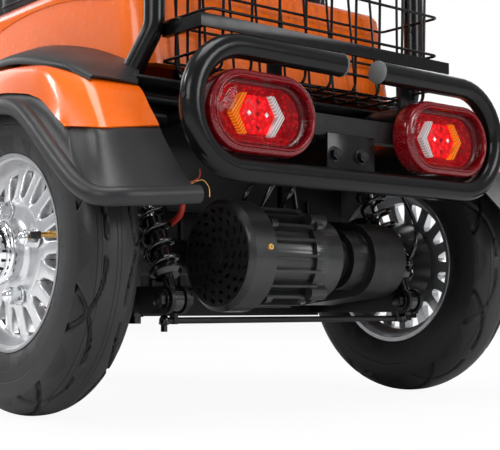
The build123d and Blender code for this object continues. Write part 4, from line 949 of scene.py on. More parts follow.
@dataclass
class Tyre:
    """A scooter tyre with crossing grooves on both shoulders."""

    radius: float = 218.0
    bead: float = 127.3
    pitches: int = 8
    steps: int = 600
    groove_half: float = 1.5
    groove_depth: float = 4.2
    groove_reach: float = 78.0
    shoulder: float = 190.0
    hairs: int = 14

    def section(self) -> List[Tuple[float, float]]:
        """The outer section from bead to bead as (radius, distance from the middle)."""
        half = [(self.bead, 30.0), (130.0, 33.0), (137.0, 36.6), (150.0, 41.2), (166.0, 44.3), (180.0, 45.0),
                (193.0, 43.2), (203.0, 38.4), (210.5, 30.0), (215.4, 19.5), (217.6, 9.0)]
        wall = rounded(half[:7], 2)
        tread = rounded(half[5:] + [(self.radius, 0.0)] + [(r, -w) for r, w in reversed(half[5:])], 7)
        return wall[:-2] + tread[5:-5] + [(r, -w) for r, w in reversed(wall[:-2])]

    def groove(self, turn: float, w: float) -> float:
        """Depth of the grooves at an angle and a distance from the middle, in millimetres.

        Args:
            turn: the angle round the axle in radians.
            w: the distance from the middle.

        Returns:
            The depth.
        """
        pitch = 2 * math.pi * self.radius / self.pitches
        along = turn * self.radius + (pitch / 2 if w > 0 else 0.0)
        near = abs((along + pitch / 2) % pitch - pitch / 2)
        w = abs(w)
        inner = abs(w - (30.0 - 0.40 * near + 0.0031 * near * near))
        outer = abs(w - (30.0 + 0.44 * near)) * 0.92
        fade = min(1.0, max(0.0, (self.groove_reach - near) / 8.0))
        cut = 0.0
        if inner < 2 * self.groove_half and near < self.groove_reach:
            cut = max(cut, fade * (1.0 - (inner / (2 * self.groove_half)) ** 2))
        if outer < 2 * self.groove_half and w < 43.0:
            cut = max(cut, 1.0 - (outer / (2 * self.groove_half)) ** 2)
        return self.groove_depth * min(1.0, 1.5 * cut)

    def build(self, name: str, x: float, y: float, body: str, node: str) -> None:
        """Builds one tyre in place of its CAD node.

        Args:
            name: the piece's name.
            x: where its middle stands, in millimetres.
            y: the same, to the left.
            body: the body that carries it.
            node: the CAD node that it replaces.
        """
        centre = Vector((x, y, AXLE_Z)) * MM
        look = TreadRubber(f"{name}_rubber", (0.012, 0.012, 0.0125), 0.44, grain=1200.0, centre=tuple(centre))
        shape = Shape(look)
        shape.wheel_ring(self.section(), centre, self.steps)
        # groove depth of each point, which the tread material turns into painted shade
        shade = shape.bm.verts.layers.float.new("groove")
        for vert in shape.bm.verts:
            place = (vert.co - centre) / MM
            reach = math.hypot(place.x, place.z)
            cut = 0.0 if reach < self.shoulder else self.groove(math.atan2(place.z, place.x), place.y)
            if cut:
                inward = Vector((-place.x / reach, -0.012 * place.y, -place.z / reach)).normalized()
                vert.co += inward * cut * MM
                vert[shade] = min(1.0, cut / self.groove_depth)
        self.nibs(shape, centre)
        shape.piece(name, body, (node,), sharp=50.0)

    def nibs(self, shape: Shape, centre: Vector) -> None:
        """Short mould hairs along the tread.

        Args:
            shape: the shape that it is added to.
            centre: the wheel's middle, in metres.
        """
        for index in range(self.hairs):
            turn = index * 2 * math.pi / self.hairs + 0.2
            out = Vector((math.cos(turn), 0, math.sin(turn)))
            foot = centre + out * 217.4 * MM + mm(0, 6.0 if index % 2 else -6.0, 0)
            if foot.z > 0.02:
                shape.rods(foot, out, (0, 2.4, 0.5, 5, 0.3))


@dataclass
class Rim:
    """A cast alloy rim: barrel, turned lip and sixteen spokes."""

    lip: float = 133.0
    bead: float = 127.0
    half_width: float = 37.0
    spokes: int = 16
    spoke_in: float = 70.0
    spoke_out: float = 114.0
    face: float = 24.0

    def barrel(self, shape: Shape, centre: Vector, side: float) -> None:
        """The barrel with both lips, as one turned ring.

        Args:
            shape: the shape that it is added to.
            centre: the wheel's middle, in metres.
            side: 1 for the left, -1 for the right.
        """
        half = self.half_width
        lip = self.lip
        outer = [(lip, -half), (lip + 0.6, -half + 1.6), (lip, -half + 3.2), (self.bead, -half + 6),
                 (126.0, -18), (115.0, -11), (115.0, 11), (126.0, 18), (self.bead, half - 6),
                 (lip, half - 3.2), (lip + 0.6, half - 1.6), (lip, half), (lip - 3.5, half - 0.5),
                 (lip - 5.0, half - 4.0), (125.0, half - 5.0), (122.5, half - 9), (120.0, half - 15),
                 (118.0, 16.0), (111.0, 11.0), (111.0, -13), (120.0, -20), (123.0, -half + 9), (126.0, -half)]
        shape.wheel_ring(outer, centre, 96, side=side)

    def disc(self, shape: Shape, centre: Vector, side: float, hub: float, hub_out: float) -> None:
        """The solid middle and the ring that the spokes run into.

        Args:
            shape: the shape that it is added to.
            centre: the wheel's middle, in metres.
            side: 1 for the left, -1 for the right.
            hub: radius of the middle boss.
            hub_out: how far the boss stands out.
        """
        face = self.face
        middle = [(hub * 0.38, face - 16), (self.spoke_in - 2, face - 14), (self.spoke_in + 2.0, face - 11),
                  (self.spoke_in + 3.0, face - 3), (self.spoke_in, face), (self.spoke_in - 8, face + 1.4),
                  (hub + 9, face + 2.2), (hub + 4, face + 4), (hub, face + 9), (hub, hub_out),
                  (hub * 0.38, hub_out)]
        shape.wheel_ring(middle, centre, 96, side=side)
        ring = [(self.spoke_out - 1.5, 3.0), (self.spoke_out + 3, 2.0), (self.spoke_out + 8, 14.0),
                (self.spoke_out + 7, 18.5), (self.spoke_out + 1.0, 13.5), (self.spoke_out - 1.5, 11.5)]
        shape.wheel_ring(ring, centre, 96, side=side)

    def spoke_set(self, shape: Shape, centre: Vector, side: float, turn: float) -> None:
        """The spokes, flared where they meet the middle and the ring.

        Args:
            shape: the shape that it is added to.
            centre: the wheel's middle, in metres.
            side: 1 for the left, -1 for the right.
            turn: angle of the first spoke in radians.
        """
        sector = math.pi / self.spokes
        outline = [(self.spoke_in - 4, 13.0), (73.0, 14.0), (74.3, 12.4), (76.0, 10.4), (79.0, 9.4),
                   (84.0, 9.0), (94.0, 8.8), (103.0, 9.2), (108.0, 10.4), (111.0, 12.4), (113.5, 17.0),
                   (self.spoke_out + 4.0, 19.0)]
        points = outline + [(r, -t) for r, t in reversed(outline)]
        loop = [Vector((centre.x + r * MM, centre.y + side * 4.0 * MM, centre.z + t * MM)) for r, t in points]
        known = set(shape.bm.verts)
        shape.slab(loop, mm(0, side * 16.0, 0))
        verts = [v for v in shape.bm.verts if v not in known]
        for vert in verts:
            reach = (vert.co.x - centre.x) / MM
            if abs(vert.co.y - centre.y) > 0.012:
                slope = self.face - 4.0 - (reach - self.spoke_in) * 0.24
                vert.co.y = centre.y + side * (4.0 + slope) * MM
        edges = [e for e in {e for v in verts for e in v.link_edges}
                 if all(abs(v.co.y - centre.y) > 0.009 for v in e.verts)]
        shape.bevel(edges, 3.4, 3)
        geom = [g for g in shape.bm.verts if g not in known]
        bmesh.ops.rotate(shape.bm, verts=geom, cent=centre, matrix=Matrix.Rotation(turn, 3, LEFT))
        faces = [f for f in shape.bm.faces if not any(v in known for v in f.verts)]
        whole = faces + list({e for f in faces for e in f.edges}) + list({v for f in faces for v in f.verts})
        bmesh.ops.spin(shape.bm, geom=whole, cent=centre, axis=LEFT, angle=2 * math.pi - 2 * sector,
                       steps=self.spokes - 1, use_duplicate=True)
        shape.dress()

    def build(self, name: str, x: float, y: float, side: float, body: str, node: str, hub: float,
              hub_out: float, turn: float = 0.0) -> None:
        """Builds one rim in place of its CAD node.

        Args:
            name: the piece's name.
            x: where its middle stands, in millimetres.
            y: the same, to the left.
            side: 1 for the left, -1 for the right.
            body: the body that carries it.
            node: the CAD node that it replaces.
            hub: radius of the middle boss.
            hub_out: how far the boss stands out.
            turn: angle of the first spoke in radians.
        """
        centre = Vector((x, y, AXLE_Z)) * MM
        shape = Shape(Look.SILVER)
        self.disc(shape, centre, side, hub, hub_out)
        self.spoke_set(shape, centre, side, turn)
        # the barrel wears the darker silver as painted shade
        shape.wear(Look.BARREL)
        self.barrel(shape, centre, side)
        self.valve(shape, centre, side)
        shape.piece(name, body, (node,), bevel=0.5, sharp=40.0)

    def valve(self, shape: Shape, centre: Vector, side: float) -> None:
        """A brass valve stem with a black cap, leaning out of the barrel.

        Args:
            shape: the shape that it is added to.
            centre: the wheel's middle, in metres.
            side: 1 for the left, -1 for the right.
        """
        out = Vector((-0.983, 0, 0.182))
        foot = centre + out * 112.0 * MM + mm(0, side * 20.0, 0)
        way = (Vector((0, side, 0)) * 0.93 - out * 0.36).normalized()
        shape.wear(Look.BRASS).rods(foot, way, (0, 16.0, 4.4, 14), (16.0, 27.0, 3.6, 14))
        shape.wear(Look.RUBBER).rods(foot, way, (25.0, 38.0, 5.0, 14, 4.4))


@dataclass
class Hub:
    """The bright cap with its crown ring, and four domed nuts."""

    cap: float = 37.5
    reach: float = 68.0
    seat: float = 44.3
    nut_circle: float = 60.0
    nut_seat: float = 26.3
    nut_flats: float = 20.5
    first: float = 16.0
    notches: int = 18

    def build(self, name: str, y: float, side: float, body: str, node: str) -> None:
        """Builds one hub's trim in place of its CAD node.

        Args:
            name: the piece's name.
            y: where the wheel's middle stands, to the left.
            side: 1 for the left, -1 for the right.
            body: the body that carries it.
            node: the CAD node that it replaces.
        """
        centre = Vector((REAR_X, y, AXLE_Z)) * MM
        out = Vector((0, side, 0))
        shape = Shape(Look.CHROME)
        base = [(self.cap + 6, self.seat), (self.cap + 6, self.seat + 5), (self.cap + 4, 52.0),
                (self.cap, 53.0), (self.cap - 1, 55.0)]
        shape.wheel_ring(rounded(base, 2) + [(0.0, 55.0), (0.0, self.seat)], centre, 72, side=side)
        crown = [(self.cap - 3, 54.0), (self.cap - 1.5, 56.0), (self.cap - 3.0, self.reach - 5),
                 (self.cap - 5.5, self.reach - 1.5), (self.cap - 9, self.reach),
                 (self.cap - 13, self.reach - 1.2), (0.0, self.reach - 2.0), (0.0, 54.0)]
        shape.wheel_ring(crown, centre, 72, side=side)
        # painted shade in the crown ring's notches
        shape.wear(Look.HOLE_SHADE)
        for index in range(self.notches):
            turn = index * 2 * math.pi / self.notches
            spoke = Vector((math.cos(turn), 0, math.sin(turn)))
            shape.rods(centre + spoke * (self.cap - 1.9) * MM + out * 56.5 * MM, out, (0, 6.0, 2.0, 8))
        shape.wear(Look.CHROME)
        for index in range(4):
            turn = math.radians(self.first + 90.0 * index)
            spoke = Vector((math.cos(turn), 0, -side * math.sin(turn)))
            self.nut(shape, centre + spoke * self.nut_circle * MM + out * self.nut_seat * MM, out)
        shape.piece(name, body, (node,), bevel=0.7, sharp=35.0)

    def nut(self, shape: Shape, foot: Vector, out: Vector) -> None:
        """A long hexagon nut with a washer face and a domed end.

        Args:
            shape: the shape that it is added to.
            foot: the middle of its seat.
            out: where it points.
        """
        corner = self.nut_flats / math.sqrt(3)
        shape.rods(foot, out, (0, 2.5, corner + 1.6, 28), (2.5, 17.0, corner, 6),
                   (17.0, 19.5, corner * 0.93, 24, corner * 0.78))
        shape.ball(foot + out * 19.0 * MM, corner * 0.78, (1, 0.62, 1), 20)


@dataclass
class Wheels:
    """All three wheels."""

    tyre: Tyre
    rim: Rim
    hub: Hub
    rear_boss: Tuple[float, float] = (40.0, 44.0)
    front_boss: Tuple[float, float] = (30.0, 40.0)
    spoke_turn: float = 0.05

    def build(self) -> None:
        """Builds tyres, rims, hubs and the discs behind them."""
        for word, side in (("left", 1), ("right", -1)):
            body = f"rear_wheel_{word}"
            y = side * TRACK_HALF
            self.tyre.build(f"tyre_{word}", REAR_X, y, body, f"rear_tyre_{word}")
            self.rim.build(f"rim_{word}", REAR_X, y, side, body, f"rear_rim_{word}", *self.rear_boss,
                           self.spoke_turn * side)
            self.hub.build(f"hub_{word}", y, side, body, f"rear_hub_{word}")
        self.tyre.build("tyre_front", FRONT_X, 0.0, "front_wheel", "front_tyre")
        self.rim.build("rim_front", FRONT_X, 0.0, 1, "front_wheel", "front_rim", *self.front_boss)


@dataclass(frozen=True)
class Smoked(Finish):
    """A smoky red cover that lets the optics show through."""

    clear: float = 0.42

    def make(self) -> bpy.types.Material:
        """Builds the material."""
        graph = Graph(self.name)
        return graph.surface(
            Base_Color=self.tint(graph),
            Roughness=self.gloss(graph),
            Specular_IOR_Level=0.35,
            Alpha=self.clear,
        )


@dataclass(frozen=True)
class PaintedGlowOptics(Finish):
    """Optics with a painted glow that stands in for light reflected in them, fluted or dotted, their low
    parts painted darker as shade.
    """

    glow: float = 0.4
    flutes: float = 0.0
    angle: float = 0.0

    def make(self) -> bpy.types.Material:
        """Builds the material."""
        graph = Graph(self.name)
        if self.flutes:
            _, y, z = graph.axes()
            across = y * math.cos(self.angle) + z * math.sin(self.angle)
            height = (across * (2 * math.pi * self.flutes)).sine() * 0.5 + 0.5
        else:
            height = 1.0 - graph.grains(150.0).step(0.1, 0.6)
        # painted shade in the low parts of flutes and dots; the painted glow follows it
        dark = tuple(c * 0.45 for c in self.colour)
        tint = graph.blend(height, dark, self.colour)
        return graph.surface(
            Base_Color=tint,
            Roughness=self.gloss(graph),
            Specular_IOR_Level=0.25,
            Emission_Color=tint,
            Emission_Strength=self.glow,
            Normal=graph.bump(height, 0.0008),
        )


LENS = Smoked("smoked_red_cover", (0.020, 0.001, 0.002), 0.06, mottle=0.1, smear=0.02, clear=0.30)
# painted glow: bowl, red field and arrows emit light that stands in for reflections
BOWL = PaintedGlowOptics("red_stepped_bowl", (0.50, 0.001, 0.004), 0.16, glow=0.7, mottle=0.2)
RED_LIGHT = PaintedGlowOptics("red_light_field", (1.0, 0.004, 0.008), 0.2, glow=1.5)
AMBER_LIGHT = PaintedGlowOptics("amber_arrow", (1.0, 0.20, 0.004), 0.2, glow=0.9, flutes=260.0, angle=0.6)
CLEAR_LIGHT = PaintedGlowOptics("clear_arrow", (0.88, 0.80, 0.80), 0.12, glow=0.5, flutes=260.0, angle=0.6)
GLASS = Finish("headlamp_glass", (0.62, 0.66, 0.70), 0.06, metal=0.5, mottle=0.1, grain=90.0, depth=0.0006)
SCREEN = Finish("screen_glass", (0.004, 0.005, 0.007), 0.05, mottle=0.3, depth=0.0, smear=0.02)
# painted glints: small white glowing dots
WHITE_GLINT = PaintedGlowOptics("painted_white_glint", (1.0, 0.97, 0.97), 0.1, glow=1.4)


@dataclass
class TailLamp:
    """A stadium tail lamp: thick red bezel, smoked stepped cover and optics with a painted glow."""

    y: float = 181.0
    z: float = 396.0
    back: float = -232.3
    half_run: float = 37.0
    outer: float = 55.0
    depth: float = 38.0

    def stadium(self, shape: Shape, profile: Line, side: float) -> None:
        """Runs a section of (radius, depth) round the lamp's stadium.

        Args:
            shape: the shape that it is added to.
            profile: the section, open or starting and ending at the same point.
            side: 1 for the left lamp, -1 for the right.
        """
        middle = side * self.y
        loop = profile[0] == profile[-1]
        points = profile[:-1] if loop else profile
        verts = [shape.bm.verts.new(at(self.back - d, middle + self.half_run, self.z + r)) for r, d in points]
        edges = [shape.bm.edges.new(pair) for pair in zip(verts, verts[1:])]
        if loop:
            edges.append(shape.bm.edges.new((verts[-1], verts[0])))
        new_verts = list(verts)
        for end in (self.half_run, -self.half_run):
            made = bmesh.ops.spin(shape.bm, geom=verts + edges, cent=at(self.back, middle + end, self.z),
                                  axis=BACK, angle=math.pi, steps=28)
            verts, edges = shape.push(kinds(made["geom_last"], bmesh.types.BMEdge), mm(0, -2 * end, 0))
        ours = {v for f in shape.dress() for v in f.verts} | {v for v in new_verts if v.is_valid}
        bmesh.ops.remove_doubles(shape.bm, verts=list(ours), dist=1e-6)

    def outline(self, corners: Line, side: float, depth: float) -> List[Vector]:
        """Corners measured from the lamp's middle, outboard and up, at a depth."""
        return [at(self.back - depth, side * (self.y + u), self.z + v) for u, v in corners]

    def build(self, word: str, side: float) -> None:
        """Builds one lamp in place of its bezel and lens nodes.

        Args:
            word: left or right.
            side: 1 for the left, -1 for the right.
        """
        bezel = Shape(Look.BEZEL)
        o = self.outer
        ring = [(o - 5, 0.0), (o - 3, 2.0), (o - 2.6, 6.0), (o - 0.4, 8.0), (o, 11.0), (o - 0.4, 27.0),
                (o - 1.2, 31.0), (o - 2.4, 33.2), (o - 4.0, 34.2), (o - 7.4, 35.4), (o - 8.8, self.depth),
                (o - 10.4, self.depth), (o - 11.6, 35.8), (o - 12.2, 31.0), (o - 13.4, 21.0),
                (o - 17.0, 20.0), (o - 17.0, 5.0), (o - 5, 0.0)]
        self.stadium(bezel, ring, side)
        bezel.piece(f"lamp_bezel_{word}", "chassis", (f"tail_lamp_bezel_{word}",), bevel=0.8, sharp=35.0)
        lens = Shape(LENS)
        cover = [(o - 13.2, 21.5), (o - 12.8, 31.0), (o - 14.2, 33.0), (o - 16.0, 33.4), (o - 17.4, 30.4),
                 (o - 19.6, 29.8), (o - 21.2, 32.6), (o - 24.0, 33.4), (o - 40.0, 34.2), (0.0, 34.6)]
        self.stadium(lens, cover, side)
        lens.piece(f"lamp_cover_{word}", "chassis", (f"tail_lamp_lens_{word}",), sharp=30.0, closed=False)

    def optics(self) -> None:
        """The bowls, light fields and arrows of both lamps, in place of the reflector node."""
        shape = Shape(BOWL)
        for side in (1, -1):
            steps = [(38.0, 6.3), (38.0, 14.0)]
            for ring in range(5):
                reach = 37.0 - ring * 3.4
                steps += [(reach, 14.0 - ring * 1.3), (reach - 1.6, 12.3 - ring * 1.3)]
            steps += [(18.0, 8.0), (0.0, 8.0)]
            shape.wear(BOWL)
            self.stadium(shape, steps, side)
            shape.wear(RED_LIGHT)
            hexagon = [(-30, 0), (-16, 25), (16, 25), (30, 0), (16, -25), (-16, -25)]
            shape.slab(self.outline(hexagon, side, 9.0), mm(-9.0, 0, 0), 1.5)
            # the white dots are painted glints
            for look, depth, radius, places in ((WHITE_GLINT, 18.5, 3.6, ((-15.0, 1.0), (15.0, 1.0))),
                                                (BOWL, 18.0, 4.4, ((0.0, -17.0), (0.0, 0.0), (0.0, 17.0)))):
                shape.wear(look)
                for spark in self.outline(places, side, depth):
                    shape.rods(spark, BACK, (0, 1.5, radius, 4, 0.4))
            for look, sign in ((AMBER_LIGHT, 1), (CLEAR_LIGHT, -1)):
                arrow = [(33, 0), (19, 27), (28, 27), (46, 0), (28, -27), (19, -27)]
                corners = self.outline([(sign * u, v) for u, v in arrow], side, 10.0)
                shape.wear(look).slab(corners, mm(-10.0, 0, 0), 1.2)
        shape.piece("lamp_optics", "chassis", ("tail_lamp_reflectors",), sharp=30.0)


@dataclass
class Bumper:
    """The black tube loop with grey end caps, its plate, bolts and the channel behind it."""

    dx: float = -258.0
    radius: float = 16.0
    half: float = 295.0
    high: float = 480.0
    low: float = 320.0
    gap: float = 38.0
    bend: float = 79.9
    bolt_z: float = 358.0
    bolts: Tuple[float, float] = (-18.5, 34.5)

    def build(self) -> None:
        """Builds the loop in place of its node, with caps and bolts."""
        shape = Shape(Look.TUBE)
        corners = [(self.gap, self.high), (self.half, self.high), (self.half, self.low)]
        path = [at(self.dx, y, z) for y, z in corners + [(-y, z) for y, z in reversed(corners)]]
        shape.pipe(path, self.radius, self.bend, 40)
        shape.block(at(-241.0, -47.0, self.low + 2), at(-237.0, 47.0, 388.0), 0.8)
        shape.block(at(-258.0, -40.0, self.low - 4), at(-237.0, 40.0, self.low + 8), 1.5)
        for side in (1, -1):
            y0 = side * 130.0
            shape.block(at(self.dx, y0 - 9.0, 472.0), at(-227.3, y0 + 9.0, 488.0), 1.0)
            hole = at(self.dx - 5.0, side * (self.half + self.radius - 0.7), 405.0)
            # painted shade: a dark disc stands for the tube's hole
            shape.wear(Look.HOLE_SHADE).rods(hole, LEFT * side, (0, 0.9, 3.6, 14)).wear(Look.TUBE)
        shape.wear(Look.BOLT)
        for y0 in self.bolts:
            shape.hex_bolt(at(-241.0, y0, self.bolt_z), BACK, 15.0, 9.0)
            shape.rod(at(-249.8, y0, self.bolt_z), at(-251.0, y0, self.bolt_z), 3.6, 12)
        shape.piece("bumper_loop", "chassis", ("rear_bumper",), bevel=0.5)
        caps = Shape(Look.CAP)
        for side in (1, -1):
            centre = at(self.dx, side * self.gap, self.high)
            section = [(0.0, 0.3), (16.6, 0.3), (16.7, -2.0), (15.6, -4.4), (11.0, -6.2), (5.0, -7.0),
                       (0.0, -7.2)]
            caps.wheel_ring(section, centre, 40, side=side, closed=False)
        caps.piece("bumper_end_caps", "chassis", ("bumper_caps",), sharp=40.0)


@dataclass
class Basket:
    """A basket of round wires on its flat black bars."""

    wire: float = 2.1
    low: float = 462.0
    high: float = 697.0
    half: float = 222.0
    bend: float = 14.0
    rows: int = 9
    pitch: float = 50.0

    def build(self) -> None:
        """Builds the wires in place of the basket node."""
        shape = Shape(Look.TUBE)
        for row in range(self.rows):
            y = (row - (self.rows - 1) / 2) * self.pitch
            path = [(-206.0, 700.0), (-199.0, self.low), (-103.0, self.low), (-79.0, 700.0)]
            shape.pipe([at(dx, y, z) for dx, z in path], self.wire, self.bend, 8)
        for dx in (-178.0, -151.0, -124.0):
            z = self.low + 2 * self.wire
            path = [(self.half, 698.0), (self.half, z), (-self.half, z), (-self.half, 698.0)]
            shape.pipe([at(dx, *place) for place in path], self.wire, self.bend, 8)
        for z, radius in ((self.high, 3.6), (600.0, 2.2), (540.0, 2.2), (486.0, 2.2)):
            share = (z - self.low) / 238.0
            back, front = -199.0 - 7.0 * share - 2 * self.wire, -103.0 + 24.0 * share + 2 * self.wire
            side = self.half + 2 * self.wire
            ring = [(back, 0), (back, side), (front, side), (front, -side), (back, -side), (back, 0)]
            shape.pipe([at(dx, y, z) for dx, y in ring], radius, 9.0, 10, open_ends=True)
        for right, left in ((223.0, 246.0), (-246.0, -223.0)):
            shape.block(at(-161.0, right, 530.4), at(-141.0, left, 533.2), 0.5)
        shape.piece("basket_wires", "chassis", ("rear_basket",), sharp=40.0)


@dataclass
class Suspension:
    """Coil-over shock absorbers, their bolts and the springs."""

    low: Tuple[float, float] = (-134.0, 155.0)
    high: Tuple[float, float] = (-13.0, 415.0)
    y: float = 231.0
    coil: float = 21.0
    wire: float = 3.7
    turns: float = 6.5
    start: float = 46.0
    length: float = 168.0
    turn_steps: int = 22
    wire_steps: int = 10
    eye_half: float = 15.2

    def along(self, t: float, y: float) -> Vector:
        """A point at t millimetres along the shock absorber.

        Args:
            t: the distance from its lower eye.
            y: distance to the left.

        Returns:
            The point.
        """
        span = math.dist(self.low, self.high)
        dx = self.low[0] + t * (self.high[0] - self.low[0]) / span
        return at(dx, y, self.low[1] + t * (self.high[1] - self.low[1]) / span)

    def springs(self) -> None:
        """Both springs, in place of their node."""
        shape = Shape(Look.SPRING)
        steps = int(self.turns * self.turn_steps)
        rise = self.length - 2 * self.wire
        for side in (1, -1):
            foot = self.along(self.start + self.wire, side * self.y)
            axis = (self.along(100.0, 0) - self.along(0.0, 0)).normalized()
            centre = foot + LEFT * self.coil * MM
            loop = []
            for index in range(self.wire_steps):
                turn = index * 2 * math.pi / self.wire_steps
                loop.append(centre + (LEFT * math.cos(turn) + axis * math.sin(turn)) * self.wire * MM)
            shape.spin(loop, foot, axis, steps, self.turns * 2 * math.pi, axis * rise * MM / steps)
        shape.piece("shock_coils", "chassis", ("shock_springs",), sharp=60.0)

    def dampers(self) -> None:
        """Bodies, rods, seats and eyes, in place of their node."""
        shape = Shape(Look.SPRING)
        span = math.dist(self.low, self.high)
        end = self.start + self.length
        for side in (1, -1):
            y = side * self.y
            for t in (0.0, span):
                eye = self.along(t, y)
                section = [(6.4, -8.5), (14.5, -8.5), (16.0, -7.0), (16.0, 7.0), (14.5, 8.5), (6.4, 8.5)]
                shape.wheel_ring(section, eye, 32)
                bush = [(6.3, -8.8), (10.0, -8.8), (10.0, 8.8), (6.3, 8.8)]
                shape.wear(Look.RUBBER).wheel_ring(bush, eye, 24)
                shape.wear(Look.SPRING)
            for look, *form in (
                    (Look.SPRING, 14.0, 36.0, 8.4, 24), (Look.SPRING, 34.0, 40.0, 17.0, 32, 23.0),
                    (Look.SPRING, 40.0, 45.6, 24.0, 36), (Look.SPRING, 35.0, 122.0, 15.0, 32),
                    (Look.SPRING, 122.0, 126.0, 15.0, 32, 9.0), (Look.CHROME, 124.0, end + 2, 6.4, 24),
                    (Look.SPRING, end + 0.4, end + 7.0, 24.0, 36),
                    (Look.SPRING, end + 7.0, end + 24.0, 15.0, 32, 12.0),
                    (Look.SPRING, end + 24.0, span - 14.0, 8.0, 20)):
                shape.wear(look).rod(self.along(form[0], y), self.along(form[1], y), *form[2:])
        shape.piece("shock_bodies", "chassis", ("shock_dampers",), bevel=0.5)

    def bolts(self) -> None:
        """Through bolts with nuts and washers at the eyes, and the link rod's ball joints."""
        shape = Shape(Look.BOLT)
        for side in (1, -1):
            for eye in (self.low, self.high):
                for way in (1, -1):
                    y = side * self.y + way * self.eye_half
                    shape.rod(at(eye[0], y, eye[1]), at(eye[0], y + way * 2.0, eye[1]), 12.5, 28)
                    shape.hex_bolt(at(eye[0], y + way * 2.0, eye[1]), LEFT * way, 19.0, 10.0)
            end = at(-118.0, side * (self.y + 4.0), 127.0)
            shape.ball(end, 8.0, (1, 0.8, 1), 16)
            shape.rods(end, -UP, (6, 15, 5.0, 6))
            shape.rod(end + mm(-9, 0, -3), end + mm(9, 0, -3), 3.0, 8)
            shape.rods(at(-96.0, side * 268.0, 137.0), -UP, (0, 5, 12.0, 24), (5, 14, 9.5, 6))
        shape.piece("suspension_bolts", "chassis", bevel=0.4)

    def build(self) -> None:
        """Builds all of it."""
        self.springs()
        self.dampers()
        self.bolts()


@dataclass
class Motor:
    """Screws and tie bolts on the motor, and the small boss on its grille."""

    dx: float = -111.0
    z: float = 217.0
    tie_angles: Tuple[float, ...] = (38.0, 128.0, 218.0, 308.0)
    bolt_angles: Tuple[float, ...] = (20.0, 140.0, 260.0)
    bolt_circle: float = 40.0

    def ring_point(self, radius: float, degrees: float, y: float) -> Vector:
        """A point on a circle round the motor's axis; 0 degrees points to the rear, 90 up."""
        turn = math.radians(degrees)
        return at(self.dx - radius * math.cos(turn), y, self.z + radius * math.sin(turn))

    def build(self) -> None:
        """Adds the small parts that the plain node lacks."""
        shape = Shape(Look.MOTOR)
        for degrees in self.tie_angles:
            for y in (92.0, 6.0):
                shape.rods(self.ring_point(74.0, degrees, y), -LEFT, (0, 12, 8.0, 20, 6.5))
            shape.rod(self.ring_point(72.0, degrees, 92.0), self.ring_point(72.0, degrees, -6.0), 3.2, 12)
        grille = at(self.dx, 140.2, self.z)
        rings = [(13.0, -1.0), (13.0, 0.5), (11.5, 0.9), (9.5, 0.4), (6.0, 0.3), (4.6, 1.0), (0.0, 1.2)]
        shape.wheel_ring(rings, grille, 36, closed=False)
        shape.wheel_ring([(70.5, -1.0), (71.8, 0.3), (73.0, -1.0)], grille, 72)
        shape.wear(Look.BRASS)
        screw = self.ring_point(80.2, 8.0, 108.0)
        out = (screw - at(self.dx, 108.0, self.z)).normalized()
        shape.rods(screw, out, (0, 2.6, 5.2, 20, 4.2))
        # painted shade in the screw's slot
        shape.wear(Look.HOLE_SHADE).rods(screw, out, (2.5, 2.9, 1.4, 4))
        shape.wear(Look.BOLT)
        for degrees in self.bolt_angles:
            shape.hex_bolt(self.ring_point(self.bolt_circle, degrees, -50.0), LEFT, 10.0, 6.0)
        shape.piece("motor_screws", "chassis", bevel=0.3)


def measured(points: Sequence[Point], side: int, parts: int = 7) -> List[Vector]:
    """A measured line as a smooth row of points in metres."""
    return [at(p[0], side * p[1], p[2]) for p in rounded(points, parts)]


def arch(a: Vector, top: Vector, b: Vector, parts: int) -> List[Vector]:
    """A parabola from one point to another that leans towards a third."""
    return [(a * (1 - t) + top * t).lerp(top * (1 - t) + b * t, t)
            for t in [i / parts for i in range(parts + 1)]]


